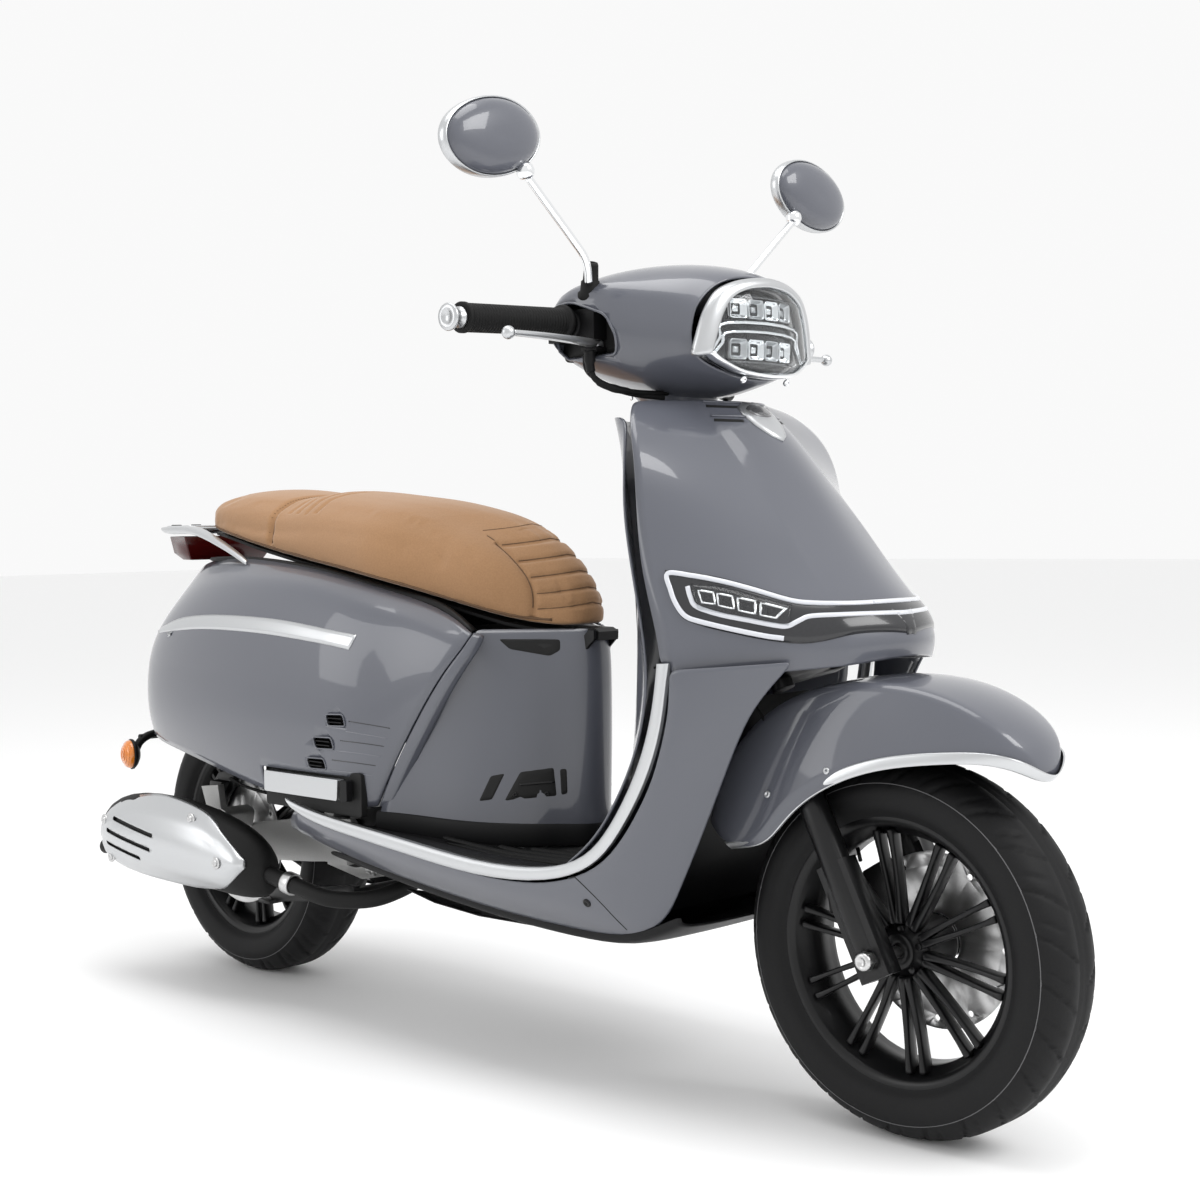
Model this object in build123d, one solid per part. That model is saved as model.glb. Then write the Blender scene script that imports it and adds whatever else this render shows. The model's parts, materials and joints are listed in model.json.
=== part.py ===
from build123d import *
import math
import os

os.makedirs("parts", exist_ok=True)

# ---------------------------------------------------------------- driving dimensions (mm)
wheelbase = 1330.0          # axle to axle
tyre_radius = 229.4         # 12-inch wheel with a 70-series tyre
tyre_half_front = 54.0      # half the section width
tyre_half_rear = 58.0
rim_radius = 163.0
disc_radius = 110.0
rake_deg = 26.0             # steering axis from the vertical
axis_x, axis_z = 268.0, 940.0   # a point on the steering axis
leg_offset = 40.0           # fork legs ahead of the steering axis
leg_y = 80.0                # fork legs each side
bar_half = 344.0            # centre to bar end
floor_z = 300.0             # foot board height
shell_t = 3.0               # body panel wall
fit = 0.06                  # radial running clearance
seat_pivot = (158.0, 596.0)     # x, z of the seat hinge
engine_pivot = (-270.0, 300.0)  # x, z of the engine swing pivot
front_x = wheelbase / 2
rear_x = -wheelbase / 2
wz = tyre_radius

rk = math.radians(rake_deg)
DX, DZ = math.sin(rk), -math.cos(rk)      # down the steering axis
FX, FZ = math.cos(rk), math.sin(rk)       # ahead, square to it


def st(t, f=0.0, y=0.0):
    """A point t down the steering axis, f ahead of it, y to the left."""
    return (axis_x + DX * t + FX * f, y, axis_z + DZ * t + FZ * f)


# ---------------------------------------------------------------- helpers
def sub(a, b):
    return (a[0] - b[0], a[1] - b[1], a[2] - b[2])


def add(a, b, k=1.0):
    return (a[0] + b[0] * k, a[1] + b[1] * k, a[2] + b[2] * k)


def cross(a, b):
    return (a[1] * b[2] - a[2] * b[1], a[2] * b[0] - a[0] * b[2], a[0] * b[1] - a[1] * b[0])


def dot(a, b):
    return a[0] * b[0] + a[1] * b[1] + a[2] * b[2]


def unit(a):
    n = math.sqrt(dot(a, a)) or 1.0
    return (a[0] / n, a[1] / n, a[2] / n)


def poly_solid(points, faces):
    """A closed solid with flat faces; each face is a list of point indices."""
    vol = sum(dot(points[f[0]], cross(points[f[1]], points[f[2]])) for f in faces)
    made = []
    for f in faces:
        ring = [points[i] for i in (f if vol > 0 else f[::-1])]
        made.append(Face(Wire.make_polygon([Vector(*p) for p in ring], close=True)))
    return Solid(Shell(made))


def quad(i, a, b, c, d, out):
    out.append([a, b, c])
    out.append([a, c, d])


def skin(P, t, inside):
    """A wall of thickness t behind the grid of outer points P; inside is a point (or a function of the point) on the inner side."""
    m, n = len(P), len(P[0])
    inner = []
    for i in range(m):
        row = []
        for j in range(n):
            a = sub(P[min(i + 1, m - 1)][j], P[max(i - 1, 0)][j])
            b = sub(P[i][min(j + 1, n - 1)], P[i][max(j - 1, 0)])
            nn = unit(cross(a, b))
            target = inside(P[i][j]) if callable(inside) else inside
            if dot(nn, sub(target, P[i][j])) < 0:
                nn = (-nn[0], -nn[1], -nn[2])
            row.append(add(P[i][j], nn, t))
        inner.append(row)
    return between(P, inner)


def between(P, Q):
    """The closed solid between two grids of the same size."""
    m, n = len(P), len(P[0])
    pts = [p for row in P for p in row] + [p for row in Q for p in row]
    k = m * n
    F = []
    for i in range(m - 1):
        for j in range(n - 1):
            a, b, c, d = i * n + j, i * n + j + 1, (i + 1) * n + j + 1, (i + 1) * n + j
            quad(0, a, b, c, d, F)
            F.append([k + c, k + b, k + a])
            F.append([k + d, k + c, k + a])
    for j in range(n - 1):
        quad(0, j + 1, j, k + j, k + j + 1, F)
        a = (m - 1) * n + j
        quad(0, a, a + 1, k + a + 1, k + a, F)
    for i in range(m - 1):
        a, b = i * n, (i + 1) * n
        quad(0, a, b, k + b, k + a, F)
        a, b = i * n + n - 1, (i + 1) * n + n - 1
        quad(0, b, a, k + a, k + b, F)
    return poly_solid(pts, F)


def rings(R):
    """A closed solid through closed rings of points, capped at both ends."""
    m, n = len(R), len(R[0])
    pts = [p for r in R for p in r]
    F = []
    for i in range(m - 1):
        for j in range(n):
            a, b = i * n + j, i * n + (j + 1) % n
            quad(0, a, b, b + n, a + n, F)
    for base, order in ((0, -1), ((m - 1) * n, 1)):
        c = tuple(sum(pts[base + j][k] for j in range(n)) / n for k in range(3))
        pts.append(c)
        ci = len(pts) - 1
        for j in range(n):
            a, b = base + j, base + (j + 1) % n
            F.append([ci, a, b] if order > 0 else [ci, b, a])
    return poly_solid(pts, F)


def flip(P):
    return [[(p[0], -p[1], p[2]) for p in row] for row in P]


def mir(s):
    return mirror(s, Plane.XZ)


def rod(a, b, r, r_in=0.0):
    a, b = Vector(*a), Vector(*b)
    d = b - a
    pl = Plane(origin=a, z_dir=d)
    s = Solid.make_cylinder(r, d.length, pl)
    if r_in:
        s = s - Solid.make_cylinder(r_in, d.length, pl)
    return s


def cyl_y(x, z, r, y0, y1):
    return Solid.make_cylinder(r, y1 - y0, Plane(origin=(x, y0, z), z_dir=(0, 1, 0)))


def block(x0, x1, y0, y1, z0, z1):
    return Solid.make_box(x1 - x0, y1 - y0, z1 - z0, Plane(origin=(x0, y0, z0)))


def tube(points, r, radii):
    """A round bar along straight runs joined by tangent arcs."""
    if len(points) > 2:
        path = FilletPolyline(*[Vector(*p) for p in points], radius=radii)
    else:
        path = Line(Vector(*points[0]), Vector(*points[1]))
    start = path @ 0
    return sweep(Plane(origin=start, z_dir=path % 0) * Circle(r), path=path)


def turned(cx, cz, profile):
    """A ring turned about the wheel axis from a closed (radius, y) profile."""
    w = Wire.make_polygon([Vector(cx + r, y, cz) for r, y in profile], close=True)
    return Solid.revolve(Face(w), 360, Axis((cx, 0, cz), (0, 1, 0)))


def plate_xz(pts, y0, y1):
    """A plate with outline pts (x, z) from y0 to y1."""
    w = Wire.make_polygon([Vector(x, y0, z) for x, z in pts], close=True)
    return Solid.extrude(Face(w), Vector(0, y1 - y0, 0))


def plate_xy(pts, z0, z1):
    w = Wire.make_polygon([Vector(x, y, z0) for x, y in pts], close=True)
    return Solid.extrude(Face(w), Vector(0, 0, z1 - z0))


def one(s):
    """The solid or solids of a boolean result as a plain shape."""
    sol = s.solids() if hasattr(s, "solids") else [s]
    return sol[0] if len(sol) == 1 else Compound(children=list(sol))


def big(s):
    """The largest solid of a boolean result."""
    return sorted(s.solids(), key=lambda q: -q.volume)[0]


NODES = {}


def put(name, *solids):
    out = []
    for s in solids:
        out += list(s.solids())
    shape = out[0] if len(out) == 1 else Compound(children=out)
    shape.label = name
    NODES[name] = shape


def arc_pts(cx, cz, R, a0, a1, n):
    return [(cx + R * math.cos(math.radians(a0 + (a1 - a0) * i / n)), cz + R * math.sin(math.radians(a0 + (a1 - a0) * i / n))) for i in range(n + 1)]


# ================================================================ wheels
def tyre(cx, half, rim_half):
    R = tyre_radius
    outer = [(156.6, rim_half - 12), (157.0, rim_half - 6.0), (168, rim_half - 1.0), (176, half - 5), (190, half), (204, half - 1.5), (215, half - 9), (223, half - 20), (R - 1.2, 27.0), (R, 22.0)]
    inner = [(R - 11, 20.0), (212, half - 18), (203, half - 10), (190, half - 7), (178, half - 12), (166, rim_half - 9)]
    loop = list(outer) + [(r, -y) for r, y in reversed(outer)]
    back = [(r, -y) for r, y in inner[::-1]] + list(inner)
    return turned(cx, wz, loop + back)


def rim(cx, half, hub_r, hub_y0, hub_y1, bore, dish):
    h = half
    outer = [(rim_radius, h), (rim_radius, h - 3.5), (156.3, h - 5.5), (156.3, h - 14), (147, h - 21)]
    inner = [(158.5, h), (151, h - 5), (151, h - 15), (142, h - 22)]
    prof = outer + [(r, -y) for r, y in reversed(outer)] + [(r, -y) for r, y in inner] + [(r, y) for r, y in reversed(inner)]
    s = turned(cx, wz, prof)
    hub = cyl_y(cx, wz, hub_r, hub_y0, hub_y1)
    n = 20
    spokes = []
    for k in range(n):
        a = 360.0 / n * k + (2.2 if k % 2 else -2.2)
        w0, w1 = 9.0, 6.0
        pr = [(hub_r - 4, -w0 / 2), (145.5, -w1 / 2), (145.5, w1 / 2), (hub_r - 4, w0 / 2)]
        y0, y1 = dish
        b = Solid.extrude(Face(Wire.make_polygon([Vector(cx + r, y0, wz + v) for r, v in pr], close=True)), Vector(0, y1 - y0, 0))
        spokes.append(b.rotate(Axis((cx, 0, wz), (0, 1, 0)), a))
    s = s.fuse(hub, *spokes)
    s = s - cyl_y(cx, wz, bore, hub_y0 - 5, hub_y1 + 5)
    return big(s)


front_rim = rim(front_x, 43.5, 34.0, -38.0, 44.0, 7.5 + fit, (-32.0, -8.0))
put("front_rim", front_rim)
put("front_tyre", tyre(front_x, tyre_half_front, 43.5 - 3.7))
rear_rim = rim(rear_x, 45.0, 38.0, -48.0, 50.0, 12.0 + fit, (-32.0, -8.0))
put("rear_rim", rear_rim)
put("rear_tyre", tyre(rear_x, tyre_half_rear, 45.0 - 3.7))


def disc(cx, y0, y1, r_in):
    d = cyl_y(cx, wz, disc_radius, y0, y1) - cyl_y(cx, wz, r_in, y0 - 1, y1 + 1)
    holes = []
    for k in range(12):
        a = math.radians(30 * k)
        holes.append(cyl_y(cx + 97 * math.cos(a), wz + 97 * math.sin(a), 4, y0 - 1, y1 + 1))
    return big(d.cut(*holes))


put("front_disc", disc(front_x, 46.0, 50.0, 34.0 + 0.5))
front_hub_cap = cyl_y(front_x, wz, 34.0, 44.0, 52.0) - cyl_y(front_x, wz, 7.5 + fit, 40, 60)
NODES["front_rim"] = big(front_rim.fuse(front_hub_cap))
NODES["front_rim"].label = "front_rim"
put("rear_disc", disc(rear_x, -54.0, -50.0, 38.0 + 0.5))
rear_hub_cap = cyl_y(rear_x, wz, 38.0, -56.0, -48.0) - cyl_y(rear_x, wz, 12.0 + fit, -60, -40)
NODES["rear_rim"] = big(rear_rim.fuse(rear_hub_cap))
NODES["rear_rim"].label = "rear_rim"

# ================================================================ front fork
T_AX = (front_x - axis_x) * DX + (wz - axis_z) * DZ       # axle station down the steering axis
F_AX = (front_x - axis_x) * FX + (wz - axis_z) * FZ       # axle offset ahead of it


def lower(side):
    y = side * leg_y
    a = rod(st(560, leg_offset, y), st(800, leg_offset, y), 18.5)
    # rectangular lower casting down to the axle
    c0, c1 = st(690, leg_offset, y), st(T_AX + 24, leg_offset + 2, y)
    pl = Plane(origin=c0, x_dir=(0, 1, 0), z_dir=sub(c1, c0))
    cast = Solid.extrude(Face(Wire.make_rect(26, 44, pl)), Vector(*sub(c1, c0)))
    s = a.fuse(cast)
    s = s - rod(st(550, leg_offset, y), st(790, leg_offset, y), 15.0 + fit)
    s = s - cyl_y(front_x, wz, 7.5 + 0.02, y - 40, y + 40)
    return s


lug = plate_xz([(585, 262), (642, 262), (660, 300), (642, 322), (600, 318)], 66.0, 76.0)
left_lower = lower(1)
lug = lug - rod(st(550, leg_offset, leg_y), st(840, leg_offset, leg_y), 18.0)
left_lower = big(left_lower.fuse(lug) - rod(st(550, leg_offset, leg_y), st(790, leg_offset, leg_y), 15.0 + fit))
put("fork_lowers", big(lower(-1)), left_lower)

axle = cyl_y(front_x, wz, 7.5, -104, 104)
nut_l = Solid.extrude(Face(Wire.make_polygon([Vector(front_x + 12 * math.cos(math.radians(60 * k)), 97, wz + 12 * math.sin(math.radians(60 * k))) for k in range(6)], close=True)), Vector(0, 9, 0))
nut_r = Solid.extrude(Face(Wire.make_polygon([Vector(front_x + 12 * math.cos(math.radians(60 * k)), -106, wz + 12 * math.sin(math.radians(60 * k))) for k in range(6)], close=True)), Vector(0, 9, 0))
put("front_axle", big(axle.fuse(nut_l, nut_r)))

cal = plate_xz([(556, 236), (584, 232), (610, 262), (612, 306), (590, 322), (560, 304), (546, 270)], 38.0, 65.5)
cal = cal - cyl_y(front_x, wz, disc_radius + 2.0, 44.6, 51.4)
put("front_caliper", big(cal - left_lower))

stem = rod(st(-55), st(452), 15.0)
yoke = Solid.extrude(Face(Wire.make_polygon([Vector(*st(410, f, y)) for f, y in ((-26, -30), (12, -104), (60, -104), (66, -60), (40, -40), (40, 40), (66, 60), (60, 104), (12, 104), (-26, 30))], close=True)), Vector(DX * 30, 0, DZ * 30))
stem = stem.fuse(yoke)
for s_ in (-1, 1):
    stem = stem - rod(st(400, leg_offset, s_ * leg_y), st(450, leg_offset, s_ * leg_y), 15.0 + 0.01)
put("steering_stem", big(stem))
put("fork_tubes", rod(st(405, leg_offset, -leg_y), st(700, leg_offset, -leg_y), 15.0), rod(st(405, leg_offset, leg_y), st(700, leg_offset, leg_y), 15.0))

# ================================================================ handlebar and controls
BAR_A = (230.0, bar_half - 8, 1008.0)
BAR_B = (226.0, 150.0, 1015.0)
bar_pts = [(BAR_A[0], -BAR_A[1], BAR_A[2]), (BAR_B[0], -BAR_B[1], BAR_B[2]), (216, -60, 1003), (216, 60, 1003), BAR_B, BAR_A]
bar = tube(bar_pts, 11.0, [40, 40, 40, 40])
clamp = rod(st(-64), st(-16), 24.0)
clamp = clamp.fuse(block(203, 243, -27, 27, 988.5, 1017.5))
bar = bar.fuse(clamp) - rod(st(-55), st(60), 15.01)
put("handlebar", big(bar))
BD = unit(sub((BAR_A[0], -BAR_A[1], BAR_A[2]), (BAR_B[0], -BAR_B[1], BAR_B[2])))   # outwards along the right bar


def on_bar(d, side=-1):
    """A point d out along the straight part of the bar, from its inner end."""
    p = add((BAR_B[0], -BAR_B[1], BAR_B[2]), BD, d)
    return (p[0], p[1] if side < 0 else -p[1], p[2])


def grip(side, r_in):
    g = rod(on_bar(10, side), on_bar(176, side), 16.0)
    g = g.fuse(rod(on_bar(8, side), on_bar(12, side), 21.0))
    return big(g - rod(on_bar(0, side), on_bar(190, side), r_in))


def bar_end(side):
    e = rod(on_bar(187.5, side), on_bar(192, side), 16.0).fuse(rod(on_bar(178, side), on_bar(187.5, side), 19.5))
    return e - rod(on_bar(150, side), on_bar(250, side), 11.01)


put("throttle_grip", grip(-1, 11.0 + fit))
put("grip_left", grip(1, 11.01))


def end_cup(side):
    inner, mid, outer = on_bar(177.5, side), on_bar(182, side), on_bar(196, side)
    e = rod(inner, mid, 19.5).fuse(rod(mid, outer, 15.5))
    return big(e - rod(on_bar(150, side), on_bar(187.3, side), 11.01))


put("bar_ends", end_cup(-1), end_cup(1))

LEVER_PIVOT = (258.0, 126.0)


def lever(side):
    pts = [(246, 118), (262, 114), (270, 126), (280, 160), (296, 230), (303, 300), (302, 312), (293, 312), (290, 300), (284, 235), (268, 168), (258, 140), (247, 134)]
    s = plate_xy([(x, side * y) for x, y in pts], 980.5, 989.0)
    ball = Solid.make_sphere(8.5, Plane(origin=(298.0, side * 318.0, 984.8)))
    s = s.fuse(ball)
    return big(s - Solid.make_cylinder(4.0 + fit, 30, Plane(origin=(LEVER_PIVOT[0], side * LEVER_PIVOT[1], 970))))


put("lever_right", lever(-1))
put("lever_left", lever(1))


def perch(side):
    b = block(188, 272, min(side * 112, side * 142), max(side * 112, side * 142), 990, 1030)
    b = b - block(187, 196, min(side * 125.6, side * 136.4), max(side * 125.6, side * 136.4), 1007.6, 1018.4)
    b = b.fuse(block(244, 272, min(side * 114, side * 138), max(side * 114, side * 138), 974, 980))
    pin = Solid.make_cylinder(4.0, 22, Plane(origin=(LEVER_PIVOT[0], side * LEVER_PIVOT[1], 972)))
    b = b.fuse(pin)
    pts = [(x, side * y, z) for x, y, z in ((226.5, 176, 1014), (226, 150, 1015), (216, 60, 1003))]
    b = b - tube([(x, side * y, z) for x, y, z in ((230, 336, 1008), (226, 150, 1015), (216, 60, 1003))], 11.02, [40])
    return big(b)


put("master_cylinders", perch(-1), perch(1))

# push buttons on the switch pods, facing the rider
put("start_button", block(184.5, 192.5, -136, -126, 1008, 1018))
put("horn_button", block(184.5, 192.5, 126, 136, 1008, 1018))

# ---------------------------------------------------------------- nacelle
NAC = [
    (190, [(0, 1064), (45, 1062), (95, 1055), (134, 1044), (149, 1018), (138, 986), (90, 962), (42, 948)]),
    (225, [(0, 1084), (50, 1082), (102, 1072), (146, 1056), (156, 1018), (146, 978), (95, 946), (45, 926)]),
    (290, [(0, 1092), (54, 1088), (100, 1076), (138, 1052), (150, 1012), (138, 968), (88, 936), (46, 918)]),
    (350, [(0, 1090), (52, 1085), (92, 1070), (120, 1045), (129, 1004), (116, 962), (80, 934), (44, 919)]),
    (400, [(0, 1082), (48, 1077), (84, 1062), (106, 1036), (113, 1000), (100, 962), (68, 940), (36, 930)]),
    (440, [(0, 1070), (42, 1066), (74, 1050), (98, 1026), (106, 996), (92, 962), (60, 946), (30, 938)]),
]
P = []
for x, half in NAC:
    row = [(x, -y, z) for y, z in reversed(half)] + [(x, y, z) for y, z in half[1:]]
    P.append(row)
nac = skin(P, shell_t, lambda p: (p[0], 0.0, 1005.0))
neck_rings = []
for z, x0, x1, hy in ((908, 240, 352, 40), (930, 215, 345, 46), (952, 205, 345, 50)):
    cx, rx = (x0 + x1) / 2, (x1 - x0) / 2
    neck_rings.append([(cx + rx * math.cos(math.radians(a)), hy * math.sin(math.radians(a)), z) for a in range(0, 360, 30)])
neck = rings(neck_rings)
neck_in = rings([[(cx_ * 0.94 + 0.06 * 280, cy_ * 0.92, z_ + (-1 if k == 0 else (1 if k == 2 else 0))) for cx_, cy_, z_ in r] for k, r in enumerate(neck_rings)])
neck = neck - neck_in
nac = nac - block(180, 460, -41, 41, 880, 951)
for s_ in (-1, 1):
    # pocket for bar, lever and switch pod
    nac = nac - block(180, 312, min(s_ * 108, s_ * 175), max(s_ * 108, s_ * 175), 966, 1037)
nac = nac.fuse(neck)
nac = nac - rod(st(-70), st(60), 27.0)
put("nacelle", big(nac))

# headlight unit and its bezel
HL = [(440, 0, 1062), (436, 40, 1058), (430, 70, 1043), (424, 92, 1020), (422, 98, 996), (428, 85, 962), (436, 55, 946), (440, 0, 940)]
ring_front = [(x + 14, y, z) for x, y, z in HL] + [(x + 14, -y, z) for x, y, z in reversed(HL[1:-1])]
ring_mid = [(x, y, z) for x, y, z in HL] + [(x, -y, z) for x, y, z in reversed(HL[1:-1])]
ring_back = [(350, y * 0.8, 1003 + (z - 1003) * 0.7) for x, y, z in ring_mid]
def scaled(ring, k, dx):
    return [(x + dx, y * k, 1002 + (z - 1002) * k) for x, y, z in ring]
head = rings([ring_back, scaled(ring_mid, 0.93, -4), scaled(ring_front, 0.93, 0), [(474 - abs(y) * 0.30, y * 0.6, 1002 + (z - 1002) * 0.6) for x, y, z in ring_front]])
put("headlight", head)
bez_o = rings([scaled(ring_mid, 1.06, 4), scaled(ring_front, 1.08, 8)])
bez_i = rings([scaled(ring_mid, 0.94, 2), scaled(ring_front, 0.94, 10)])
bez = bez_o - bez_i
bez = bez - nac
put("headlight_bezel", big(bez))

inst = rings([
    [(196, y, z) for y, z in ((-70, 1012), (70, 1012), (88, 1030), (60, 1054), (-60, 1054), (-88, 1030))],
    [(182, y, z) for y, z in ((-66, 1010), (66, 1010), (82, 1028), (58, 1048), (-58, 1048), (-82, 1028))],
])
put("instrument", inst)

# ---------------------------------------------------------------- mirrors
def stem_mirror(side):
    base = (262.0, side * 148.0, 1038.0)
    pts = [(262, side * 148, 1050), (264, side * 150, 1098), (279, side * 260.0, 1183)]
    s = tube(pts, 4.5, [22])
    boot = rod((262, side * 148, 1046), (262.8, side * 148.8, 1084), 9.5)
    return s, boot


ms = []
for s_ in (-1, 1):
    a, b = stem_mirror(s_)
    q = big(a.fuse(b))
    q = q - nac
    ms.append(big(q))
put("mirror_stems", *ms)


def mirror_head(side):
    cy, cz, cx = side * 316.0, 1226.0, 272.0
    R = []
    for x, k in ((-9, 0.90), (-4, 1.0), (4, 1.0), (12, 0.86), (19, 0.55)):
        ring = []
        for a in range(0, 360, 20):
            c, s = math.cos(math.radians(a)), math.sin(math.radians(a))
            y, z = 79 * c * k, 48 * s * k
            t = math.radians(-side * 12)
            ring.append((cx + x + side * (y * 0.0), cy + y * math.cos(t) - z * math.sin(t), cz + y * math.sin(t) + z * math.cos(t)))
        R.append(ring)
    s = rings(R)
    ball = Solid.make_sphere(9.0, Plane(origin=(280.0, side * 267.6, 1188.0)))
    s = s.fuse(ball)
    s = s - rod((262, side * 140, 1090), (281, side * 268, 1190), 4.8)
    return s


heads = []
for s_ in (-1, 1):
    h = mirror_head(s_)
    h = h - tube([(262, s_ * 148, 1050), (264, s_ * 150, 1098), (279, s_ * 260.0, 1183)], 4.9, [22])
    heads.append(big(h))
put("mirror_right", heads[0])
put("mirror_left", heads[1])

# ---------------------------------------------------------------- front fender
def fpol(R, a, y):
    return (front_x + R * math.cos(math.radians(a)), y, wz + R * math.sin(math.radians(a)))


FEND = [  # angle, centre radius, shoulder (half width, radius), edge (half width, radius)
    (50.5, 297, (12, 297), (22, 293)),
    (54, 318, (38, 312), (52, 292)),
    (60, 327, (55, 319), (72, 280)),
    (68, 332, (64, 324), (82, 258)),
    (78, 335, (70, 328), (88, 240)),
    (90, 336, (75, 329), (96, 225)),
    (103, 337, (77, 329), (101, 212)),
    (116, 336, (79, 328), (104, 203)),
    (129, 330, (78, 322), (104, 195)),
    (141, 318, (76, 310), (102, 192)),
    (152, 300, (72, 294), (96, 238)),
]
P = []
for a, rc, (sy, sr), (ey, er) in FEND:
    half = [(0, rc), (sy * 0.55, rc - (rc - sr) * 0.30), (sy, sr), (sy + (ey - sy) * 0.65, sr - (sr - er) * 0.35), (ey, er)]
    row = [fpol(r, a, -y) for y, r in reversed(half)] + [fpol(r, a, y) for y, r in half[1:]]
    P.append(row)
fender = skin(P, 2.5, lambda p: (front_x, 0.0, wz))
for s_ in (-1, 1):
    fender = fender - rod(st(420, leg_offset, s_ * leg_y), st(640, leg_offset, s_ * leg_y), 23.0)
put("front_fender", big(fender))
# trim along the lower edge
def edge_strip(side):
    O, I = [], []
    for a, rc, (sy, sr), (ey, er) in FEND:
        # just outside the side wall at the edge
        k = 1.0 if a < 140 else 1.0
        top = fpol(er + 15 * k, a, side * (ey + 1.2 - 0.6))
        bot = fpol(er + 1, a, side * (ey + 1.2))
        O.append([top, bot])
    rows = [[(p[0], p[1] + side * 1.8, p[2]) for p in r] for r in O]
    return between(rows, O)
tr = []
for s_ in (-1, 1):
    e = edge_strip(s_)
    e = e - NODES["front_fender"]
    tr.append(big(e))
put("fender_trim", *tr)

# ---------------------------------------------------------------- brake hoses at the bar
def hose(side):
    pts = [(238, side * 118, 988), (243, side * 124, 962), (275, side * 112, 944), (300, side * 84, 938), (306, side * 52, 930)]
    return pts


hs = []
for s_ in (-1, 1):
    pts = [(242, s_ * 128, 973.5), (244, s_ * 130, 952), (268, s_ * 118, 930), (296, s_ * 92, 918), (322, s_ * 62, 914)]
    radii = []
    for i in range(1, len(pts) - 1):
        a, b, c = Vector(*pts[i - 1]), Vector(*pts[i]), Vector(*pts[i + 1])
        turn = (b - a).get_angle(c - b)
        radii.append(0.45 * min((b - a).length, (c - b).length) / math.tan(math.radians(turn) / 2))
    print("brake hose radii", [round(r, 1) for r in radii])
    h = tube(pts, 3.6, radii)
    path_len = FilletPolyline(*[Vector(*p) for p in pts], radius=radii).length
    print("brake hose length", round(path_len, 1), "volume", round(h.volume, 1), "section x length", round(math.pi * 3.6 ** 2 * path_len, 1))
    h = h - NODES["nacelle"] - NODES["master_cylinders"]
    hs.append(big(h))
put("brake_hoses", *hs)

# ================================================================ body: leg shield
# rows of the outer face from the top down: z, then (y, x) from the centre to the edge
SH = [
    (899, [(0, 416), (42, 402), (72, 382), (104, 362), (134, 344)]),
    (880, [(0, 446), (45, 432), (74, 408), (118, 392), (172, 372)]),
    (840, [(0, 486), (50, 468), (76, 450), (130, 424), (198, 392)]),
    (790, [(0, 527), (55, 506), (79, 494), (138, 452), (207, 402)]),
    (740, [(0, 562), (58, 545), (82, 536), (142, 486), (209, 408)]),
    (700, [(0, 594), (60, 580), (84, 568), (146, 512), (210, 414)]),
    (664, [(0, 632), (62, 612), (88, 596), (150, 540), (211, 426)]),
    (625, [(0, 664), (64, 646), (92, 628), (154, 570), (212, 438)]),
    (604, [(0, 676), (64, 660), (94, 642), (158, 584), (212, 448)]),
    (588, [(0, 664), (62, 652), (93, 638), (160, 592), (211, 456)]),
]
P = []
def droop(z, y):
    """The two lowest rows run down towards the sides."""
    return z - (max(0.0, 610.0 - z) / 22.0) * 26.0 * (abs(y) / 211.0) ** 1.2 if z < 610 else z


for z, half in SH:
    row = [(x, -y, droop(z, y)) for y, x in reversed(half)] + [(x, y, droop(z, y)) for y, x in half[1:]]
    P.append(row)
front_panel = skin(P, shell_t, lambda p: (p[0] - 200.0, p[1] * 0.3, p[2]))
put("front_panel", front_panel)

# light bar in front of the panel
LB = [
    (690, 655, [(0, 618 + 12), (66, 602), (100, 580), (158, 524), (208, 436)]),
]
rowsO, rowsI = [], []
for z, dx, sc in ((658, 9, 1.0), (640, 12, 1.0), (612, 12, 1.0), (598, 8, 1.0)):
    # centre height z, rising towards the sides
    o, i_ = [], []
    for y in (-200, -170, -130, -90, -50, 0, 50, 90, 130, 170, 200):
        rise = 30 * (abs(y) / 200.0) ** 1.2 * (1.0 if z > 630 else 1.0)
        zz = z + rise
        # x of the panel at this height and y, by interpolation
        def at(zq, yq):
            for (z0, h0), (z1, h1) in zip(SH[:-1], SH[1:]):
                if z0 >= zq >= z1:
                    k = (z0 - zq) / (z0 - z1)
                    def xy(h):
                        for (ya, xa), (yb, xb) in zip(h[:-1], h[1:]):
                            if ya <= yq <= yb:
                                return xa + (xb - xa) * (yq - ya) / (yb - ya)
                        return h[-1][1]
                    return xy(h0) * (1 - k) + xy(h1) * k
        xp = at(zz, abs(y))
        kk = 1.0 if abs(y) < 150 else 0.75
        o.append((xp + dx * kk + 2.2, y * (1 + 0.02), zz))
        i_.append((xp + 2.2, y, zz))
    rowsO.append(o)
    rowsI.append(i_)
lb = between(rowsO, rowsI)
lb = lb - NODES["front_panel"]
put("light_bar", big(lb))

# black tray behind the front wheel and under the floor
UT = [  # x, z at the centre line; half width
    (404, 520, 138), (396, 450, 142), (374, 380, 146), (356, 306, 150), (332, 240, 152), (284, 207, 152), (180, 194, 150), (40, 191, 148), (-60, 196, 144), (-125, 206, 140),
]
P = []
for x, z, w in UT:
    P.append([(x - 4, -w, z + (14 if z < 240 else 0)), (x, -w * 0.6, z), (x, 0, z), (x, w * 0.6, z), (x - 4, w, z + (14 if z < 240 else 0))])
under = skin(P, 2.5, lambda p: (120.0, 0.0, 420.0) if p[2] < 300 else (100.0, 0.0, 520.0 if p[0] < 460 else 700.0))
put("under_tray", under)

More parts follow.
